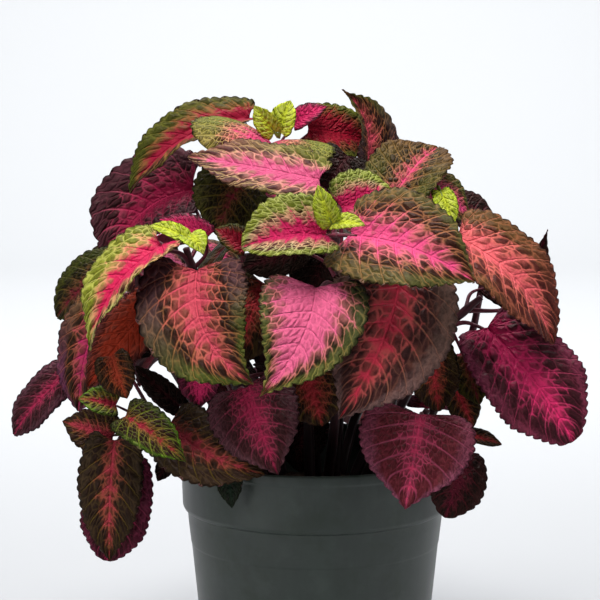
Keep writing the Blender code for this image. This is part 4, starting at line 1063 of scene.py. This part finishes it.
for number, (name, leaves) in enumerate(tips.items()):
    foot = np.mean([leaf["base"] for leaf in leaves], axis=0)
    heading = unit(np.sum([midrib(leaf, 0.0)[1] for leaf in leaves], axis=0))
    thick = np.linspace(stubForm["base"], stubForm["tip"], stubForm["steps"])
    spots, drop = stubForm["ends"]
    parts = []
    for k, leaf in enumerate(leaves):
        parts.append(leafPart(leaf, leaf["look"], 900 + number * 7 + k, coarse["young"]))
        ending = midrib(leaf, np.array(spots))[0] - leaf["normal"] * drop
        stub = smoothPath(np.vstack([foot - heading * (stubForm["sunk"] - k), ending]), stubForm["steps"])
        parts.append(tubePart(stub, thick, stubForm, number))
    piece = makePiece(name + "_leaves", parts, leafMaterials)
    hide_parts(name)
print("coleus: leaves made, widest difference from the solids", round(worst * 1000, 2), "mm")

# Nursery pot, in mm
potForm = {
    "rim": 84.8,
    "height": 165.0,
    "lip": 0.8,  # bevel of the top edge
    "bead": 6.0,  # height of the bead round the rim, and the step under it
    "beadStep": (0.6, 1.0),
    "band": 37.0,
    "bandFoot": 83.4,
    "bandEdge": ((0.0, 3.0), (-1.0, 0.6)),  # (radius, height) from the band's foot
    "wallTop": 80.4,
    "ledge": ((0.0, 0.0), (-0.5, -7.0), (-2.1, -21.0), (-2.5, -22.0)),  # (radius, height) from the wall's top
    "foot": 67.5,
    "heel": 3.0,
    "wall": 1.6,
    "floor": 2.0,
    "round": 0.7,  # radius of the rounded corners
    "steps": 144,
    "sharp": 50,  # degrees from which an edge shades as a crease
}
drainForm = {"count": 6, "radius": 5.0, "circle": 46.0, "low": -5, "high": 9, "steps": 24}


def turnedMesh(name, profile, steps):
    # a profile of (radius, height) turned round the upright axis: (r cos a, r sin a, z)
    profile = np.asarray(profile)
    angle = np.arange(steps) * 2 * np.pi / steps
    points = np.stack([profile[:, :1] * np.cos(angle), profile[:, :1] * np.sin(angle), profile[:, 1:] + 0 * angle], -1)
    grid = np.arange(len(profile) * steps).reshape(len(profile), steps)
    turned = np.roll(grid, -1, axis=1)
    quads = np.stack([grid[:-1], grid[1:], turned[1:], turned[:-1]], -1).reshape(-1, 4)
    mesh = bpy.data.meshes.new(name)
    mesh.from_pydata((points.reshape(-1, 3) * mm).tolist(), [], quads.tolist())
    form = bmesh.new()
    form.from_mesh(mesh)
    bmesh.ops.remove_doubles(form, verts=form.verts, dist=1e-6)
    bmesh.ops.recalc_face_normals(form, faces=form.faces)
    form.to_mesh(mesh)
    form.free()
    return mesh


def roundedProfile(corners, radius, steps=4):
    # each inner corner gives way to (1-s)^2 a + 2s(1-s) c + s^2 b between points set back from it
    corners = np.asarray(corners, float)
    s = np.linspace(0, 1, steps)[:, None]
    out = [corners[:1]]
    for before, at, after in zip(corners[:-2], corners[1:-1], corners[2:]):
        gaps = np.linalg.norm(before - at), np.linalg.norm(after - at)
        a = at + (before - at) * min(radius / gaps[0], 0.45)
        b = at + (after - at) * min(radius / gaps[1], 0.45)
        out.append((1 - s) ** 2 * a + 2 * s * (1 - s) * at + s * s * b)
    return np.vstack(out + [corners[-1:]])


def potProfile():
    # outside from the lip down to the middle of the floor, then inside from there up to the lip
    p = potForm
    top, foot, rim, lip, bead = p["height"], p["height"] - p["band"], p["rim"], p["lip"], p["bead"]
    stepIn, stepDown = p["beadStep"]
    outer = [
        (rim - lip, top), (rim, top - lip), (rim, top - bead), (rim - stepIn, top - bead - stepDown),
        *((p["bandFoot"] + out, foot + up) for out, up in p["bandEdge"]),
        *((p["wallTop"] + out, foot + up) for out, up in p["ledge"]),
        (p["foot"], p["heel"]), (p["foot"] - p["heel"], 0.0), (0.0, 0.0),
    ]
    out, up = p["ledge"][1]
    inner = [
        (0.0, p["floor"]), (p["foot"] - p["heel"] - 1.0, p["floor"]), (p["foot"] - p["wall"], p["heel"] + p["floor"]),
        (p["wallTop"] + out - p["wall"], foot + up), (p["bandFoot"] - p["wall"] - 1.0, foot + 4.0),
        (rim - p["wall"], top - bead), (rim - p["wall"], top - lip), (rim - lip, top),
    ]
    return np.vstack([roundedProfile(outer, p["round"]), roundedProfile(inner, p["round"])])


def potSurface():
    # Injection-moulded polypropylene, satin: grey-green with faint flow streaks down the wall, darker damp
    # patches, a soft broad sheen, and pale rubbed marks
    made, tree = newMaterial("mouldedPolypropylene")
    place = addNode(tree, "TexCoord").outputs["Object"]
    tall = addNode(tree, "Mapping", {"Scale": (60.0, 60.0, 9.0)}, {"Vector": place})
    flow = addNode(tree, "TexNoise", {"Scale": 1.0, "Detail": 3.0}, {"Vector": tall})
    fine = addNode(tree, "TexNoise", {"Scale": 900.0, "Detail": 2.0}, {"Vector": place})
    dust = addNode(tree, "TexNoise", {"Scale": 55.0, "Detail": 4.0, "Roughness": 0.65}, {"Vector": place})
    damp = addNode(tree, "TexNoise", {"Scale": 24.0, "Detail": 4.0, "Roughness": 0.7}, {"Vector": place})
    share = addNode(tree, "MapRange", {"From Min": 0.3, "From Max": 0.7}, {"Value": flow})
    blend = {"data_type": "RGBA"}  # sockets 6 and 7 are its colours, output 2 the result
    resin = {**blend, 6: linearColour("#1f2824"), 7: linearColour("#27312c")}
    base = addNode(tree, "Mix", resin, {0: share}).outputs[2]
    for spots, low, high, most, code in ((damp, 0.46, 0.62, 0.9, "#18241a"), (dust, 0.5, 0.8, 0.3, "#444c48")):
        share = addNode(tree, "MapRange", {"From Min": low, "From Max": high, "To Max": most}, {"Value": spots})
        base = addNode(tree, "Mix", {**blend, 7: linearColour(code)}, {0: share, 6: base}).outputs[2]
    rough = addNode(tree, "MapRange", {"To Min": 0.34, "To Max": 0.46}, {"Value": dust})
    bump = addNode(tree, "Bump", {"Strength": 0.12, "Distance": 0.0002}, {"Height": fine})
    links = {"Base Color": base, "Roughness": rough, "Normal": bump}
    shader = addNode(tree, "BsdfPrincipled", {"IOR": 1.49, "Specular IOR Level": 0.5}, links)
    addNode(tree, "OutputMaterial", links={"Surface": shader})
    return made


def buildPot():
    p, d = potForm, drainForm
    pot = addObject("nursery_pot", turnedMesh("nursery_pot", potProfile(), p["steps"]))
    cutters = bpy.data.collections.new("drainCutters")
    bpy.context.scene.collection.children.link(cutters)
    for k in range(d["count"]):
        turn = 2 * math.pi * (k + 0.5) / d["count"]
        disc = [(0, d["low"]), (d["radius"], d["low"]), (d["radius"], d["high"]), (0, d["high"])]
        mesh = turnedMesh("drain", disc, d["steps"])
        offset = np.array([d["circle"] * math.cos(turn), d["circle"] * math.sin(turn), 0.0]) * mm
        mesh.transform(((1, 0, 0, offset[0]), (0, 1, 0, offset[1]), (0, 0, 1, 0), (0, 0, 0, 1)))
        cutters.objects.link(bpy.data.objects.new("drain", mesh))
    cut = pot.modifiers.new("Drains", "BOOLEAN")
    cut.operation, cut.operand_type, cut.collection, cut.solver = "DIFFERENCE", "COLLECTION", cutters, "EXACT"
    made = bpy.data.meshes.new_from_object(pot.evaluated_get(bpy.context.evaluated_depsgraph_get()))
    pot.modifiers.clear()
    pot.data = made
    for cutter in list(cutters.objects):
        bpy.data.objects.remove(cutter)
    bpy.data.collections.remove(cutters)
    made.shade_smooth()
    made.set_sharp_from_angle(angle=math.radians(p["sharp"]))
    made.materials.clear()
    made.materials.append(potSurface())
    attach(pot, "root")
    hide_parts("pot")


buildPot()
print("coleus: pot made")

# Potting mix, in mm
mixForm = {
    "top": 135.0,
    "crown": 5.0,  # how much higher the middle is, and how much lower the very edge
    "sink": 3.0,
    "edge": 121.0,
    "radius": 77.9,
    "lowRadius": 66.2,
    "low": 5.0,
    "heel": 2.5,
    "floor": 2.4,
    "gap": 0.4,
    "rings": 60,
    "steps": 144,
    "loose": 130,  # height above which it is crumbly
    "crumbs": ((1.4, 9.0, 3), (0.5, 2.6, 4)),  # height, size and seed of coarse and fine lumps
}


def lumps(points, size, seed):
    # smooth noise in mm as a sum of sines with turned directions
    source = np.random.default_rng(seed)
    total = np.zeros(len(points))
    for octave in range(5):
        for _ in range(6):
            turn = source.normal(size=3)
            turn *= 2 * np.pi / (size / 1.7**octave) / np.linalg.norm(turn)
            total += np.sin(points @ turn + source.uniform(0, 6.28)) / 1.6**octave
    return total / 6.0


def mixSurface():
    # Peat and bark potting mix: matt, near black when moist, with brown fibre and gritty crumbs
    made, tree = newMaterial("moistPeatMix")
    place = addNode(tree, "TexCoord").outputs["Object"]
    clump = addNode(tree, "TexNoise", {"Scale": 260.0, "Detail": 6.0, "Roughness": 0.7}, {"Vector": place})
    grit = addNode(tree, "TexVoronoi", {"Scale": 420.0}, {"Vector": place})
    share = addNode(tree, "MapRange", {"From Min": 0.35, "From Max": 0.7}, {"Value": clump})
    peat = {"data_type": "RGBA", 6: linearColour("#15100c"), 7: linearColour("#3b2a1e")}
    base = addNode(tree, "Mix", peat, {0: share}).outputs[2]
    height = addNode(tree, "Math", {"operation": "SUBTRACT"}, {0: clump, 1: grit})
    bump = addNode(tree, "Bump", {"Strength": 0.9, "Distance": 0.0012}, {"Height": height})
    matt = {"Roughness": 0.95, "IOR": 1.4, "Specular IOR Level": 0.2}
    shader = addNode(tree, "BsdfPrincipled", matt, {"Base Color": base, "Normal": bump})
    addNode(tree, "OutputMaterial", links={"Surface": shader})
    return made


def buildMix():
    # a crowned top, h = top + crown (1 - (r/R)^2) - sink (r/R)^4, with loose crumbs, over a plain block
    m = mixForm
    radius = np.linspace(0, 1, m["rings"]) ** 0.8 * (m["radius"] - m["gap"])
    height = m["top"] + m["crown"] * (1 - (radius / m["radius"]) ** 2) - m["sink"] * (radius / m["radius"]) ** 4
    inner = m["lowRadius"] - m["heel"]
    side = [(m["radius"], m["edge"]), (m["lowRadius"], m["low"]), (inner, m["floor"]), (0.0, m["floor"])]
    mesh = turnedMesh("potting_mix_crumb", np.vstack([np.stack([radius, height], -1), side]), m["steps"])
    points = np.zeros(len(mesh.vertices) * 3, np.float32)
    mesh.vertices.foreach_get("co", points)
    points = points.reshape(-1, 3) / mm
    away = np.linalg.norm(points[:, :2], axis=1)
    loose = (points[:, 2] > m["loose"]) * smooth(0.0, 3.0, m["radius"] - away)
    points[:, 2] += loose * sum(high * lumps(points, size, seed) for high, size, seed in m["crumbs"])
    mesh.vertices.foreach_set("co", (points * mm).astype(np.float32).ravel())
    mesh.shade_smooth()
    mesh.materials.append(mixSurface())
    mix = addObject("potting_mix_crumb", mesh)
    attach(mix, "root")
    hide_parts("potting_mix")


buildMix()
print("coleus: potting mix made")

# Floor and light, in metres
studio = {
    "width": 3.0,
    "back": 2.2,
    "bend": 0.8,
    "height": 3.2,
    "front": -2.4,
    "near": "#a9abae",  # the paper's tone in front and behind, darker in front as painted shade, and where one gives way to the other
    "far": "#b7b9bb",
    "fades": (0.1, 1.4),
    "air": "#fbfcff",
    "airLight": 0.12,
}


def paperSurface():
    # Matt card sweep: no highlight, with painted shade that leaves it darker in front and lighter behind
    made, tree = newMaterial("mattPaperSweep")
    place = addNode(tree, "SeparateXYZ", links={0: addNode(tree, "TexCoord").outputs["Object"]})
    low, high = studio["fades"]
    soft = {"interpolation_type": "SMOOTHSTEP", "From Min": low, "From Max": high}
    # painted shade: the floor darkens toward the front
    back = addNode(tree, "MapRange", soft, {"Value": place.outputs["Y"]})
    paper = {"data_type": "RGBA", 6: linearColour(studio["near"]), 7: linearColour(studio["far"])}
    tone = addNode(tree, "Mix", paper, {0: back}).outputs[2]
    shader = addNode(tree, "BsdfPrincipled", {"Roughness": 0.9, "Specular IOR Level": 0.1}, {"Base Color": tone})
    addNode(tree, "OutputMaterial", links={"Surface": shader})
    return made


def buildStage():
    # flat floor, then a quarter circle of radius b up into an upright wall
    s = studio
    flat = np.array([[s["front"], 0.0], [s["back"], 0.0]])
    angle = np.linspace(0, np.pi / 2, 24)[1:]
    bend = np.stack([s["back"] + s["bend"] * np.sin(angle), s["bend"] * (1 - np.cos(angle))], -1)
    line = np.vstack([flat, bend, [[s["back"] + s["bend"], s["height"]]]])
    x = np.array([-s["width"], s["width"]])
    points = np.stack([x[None, :] + 0 * line[:, :1], line[:, :1] + 0 * x, line[:, 1:] + 0 * x], -1).reshape(-1, 3)
    grid = np.arange(len(points)).reshape(-1, 2)
    quads = np.stack([grid[:-1, 0], grid[:-1, 1], grid[1:, 1], grid[1:, 0]], -1)
    mesh = bpy.data.meshes.new("studio_floor")
    mesh.from_pydata(points.tolist(), [], quads.tolist())
    mesh.shade_smooth()
    mesh.materials.append(paperSurface())
    addObject("studio_floor", mesh)


lamps = {  # place, aim, size, power, colour
    "overhead": ((-0.1, -0.6, 1.6), (0.0, 0.0, 0.25), 0.8, 28.5, "#fffdfa"),
    "frontLeft": ((-1.3, -1.3, 0.55), (0.0, 0.0, 0.26), 0.9, 12.5, "#fffefc"),
    "frontRight": ((1.5, -1.0, 0.7), (0.0, 0.0, 0.22), 0.8, 7.5, "#fffefc"),
    "sweepWash": ((0.0, 0.9, 2.7), (0.0, 2.8, 1.0), 1.6, 159.0, "#fefeff"),
}


def buildLights():
    for name, (place, aim, size, power, colour) in lamps.items():
        light = bpy.data.lights.new(name, "AREA")
        light.shape, light.size, light.energy, light.color = "DISK", size, power, linearColour(colour)[:3]
        holder = addObject(name, light)
        holder.location = place
        holder.rotation_euler = (Vector(aim) - Vector(place)).to_track_quat("-Z", "Y").to_euler()
    world = bpy.data.worlds.new("studioAir")
    world.use_nodes = True
    tree = world.node_tree
    tree.nodes.clear()
    air = addNode(tree, "Background", {"Color": linearColour(studio["air"]), "Strength": studio["airLight"]})
    addNode(tree, "OutputWorld", links={"Surface": air})
    bpy.context.scene.world = world
    bpy.context.scene.view_settings.view_transform = "Standard"


buildStage()
buildLights()
print("coleus: stage and light set")
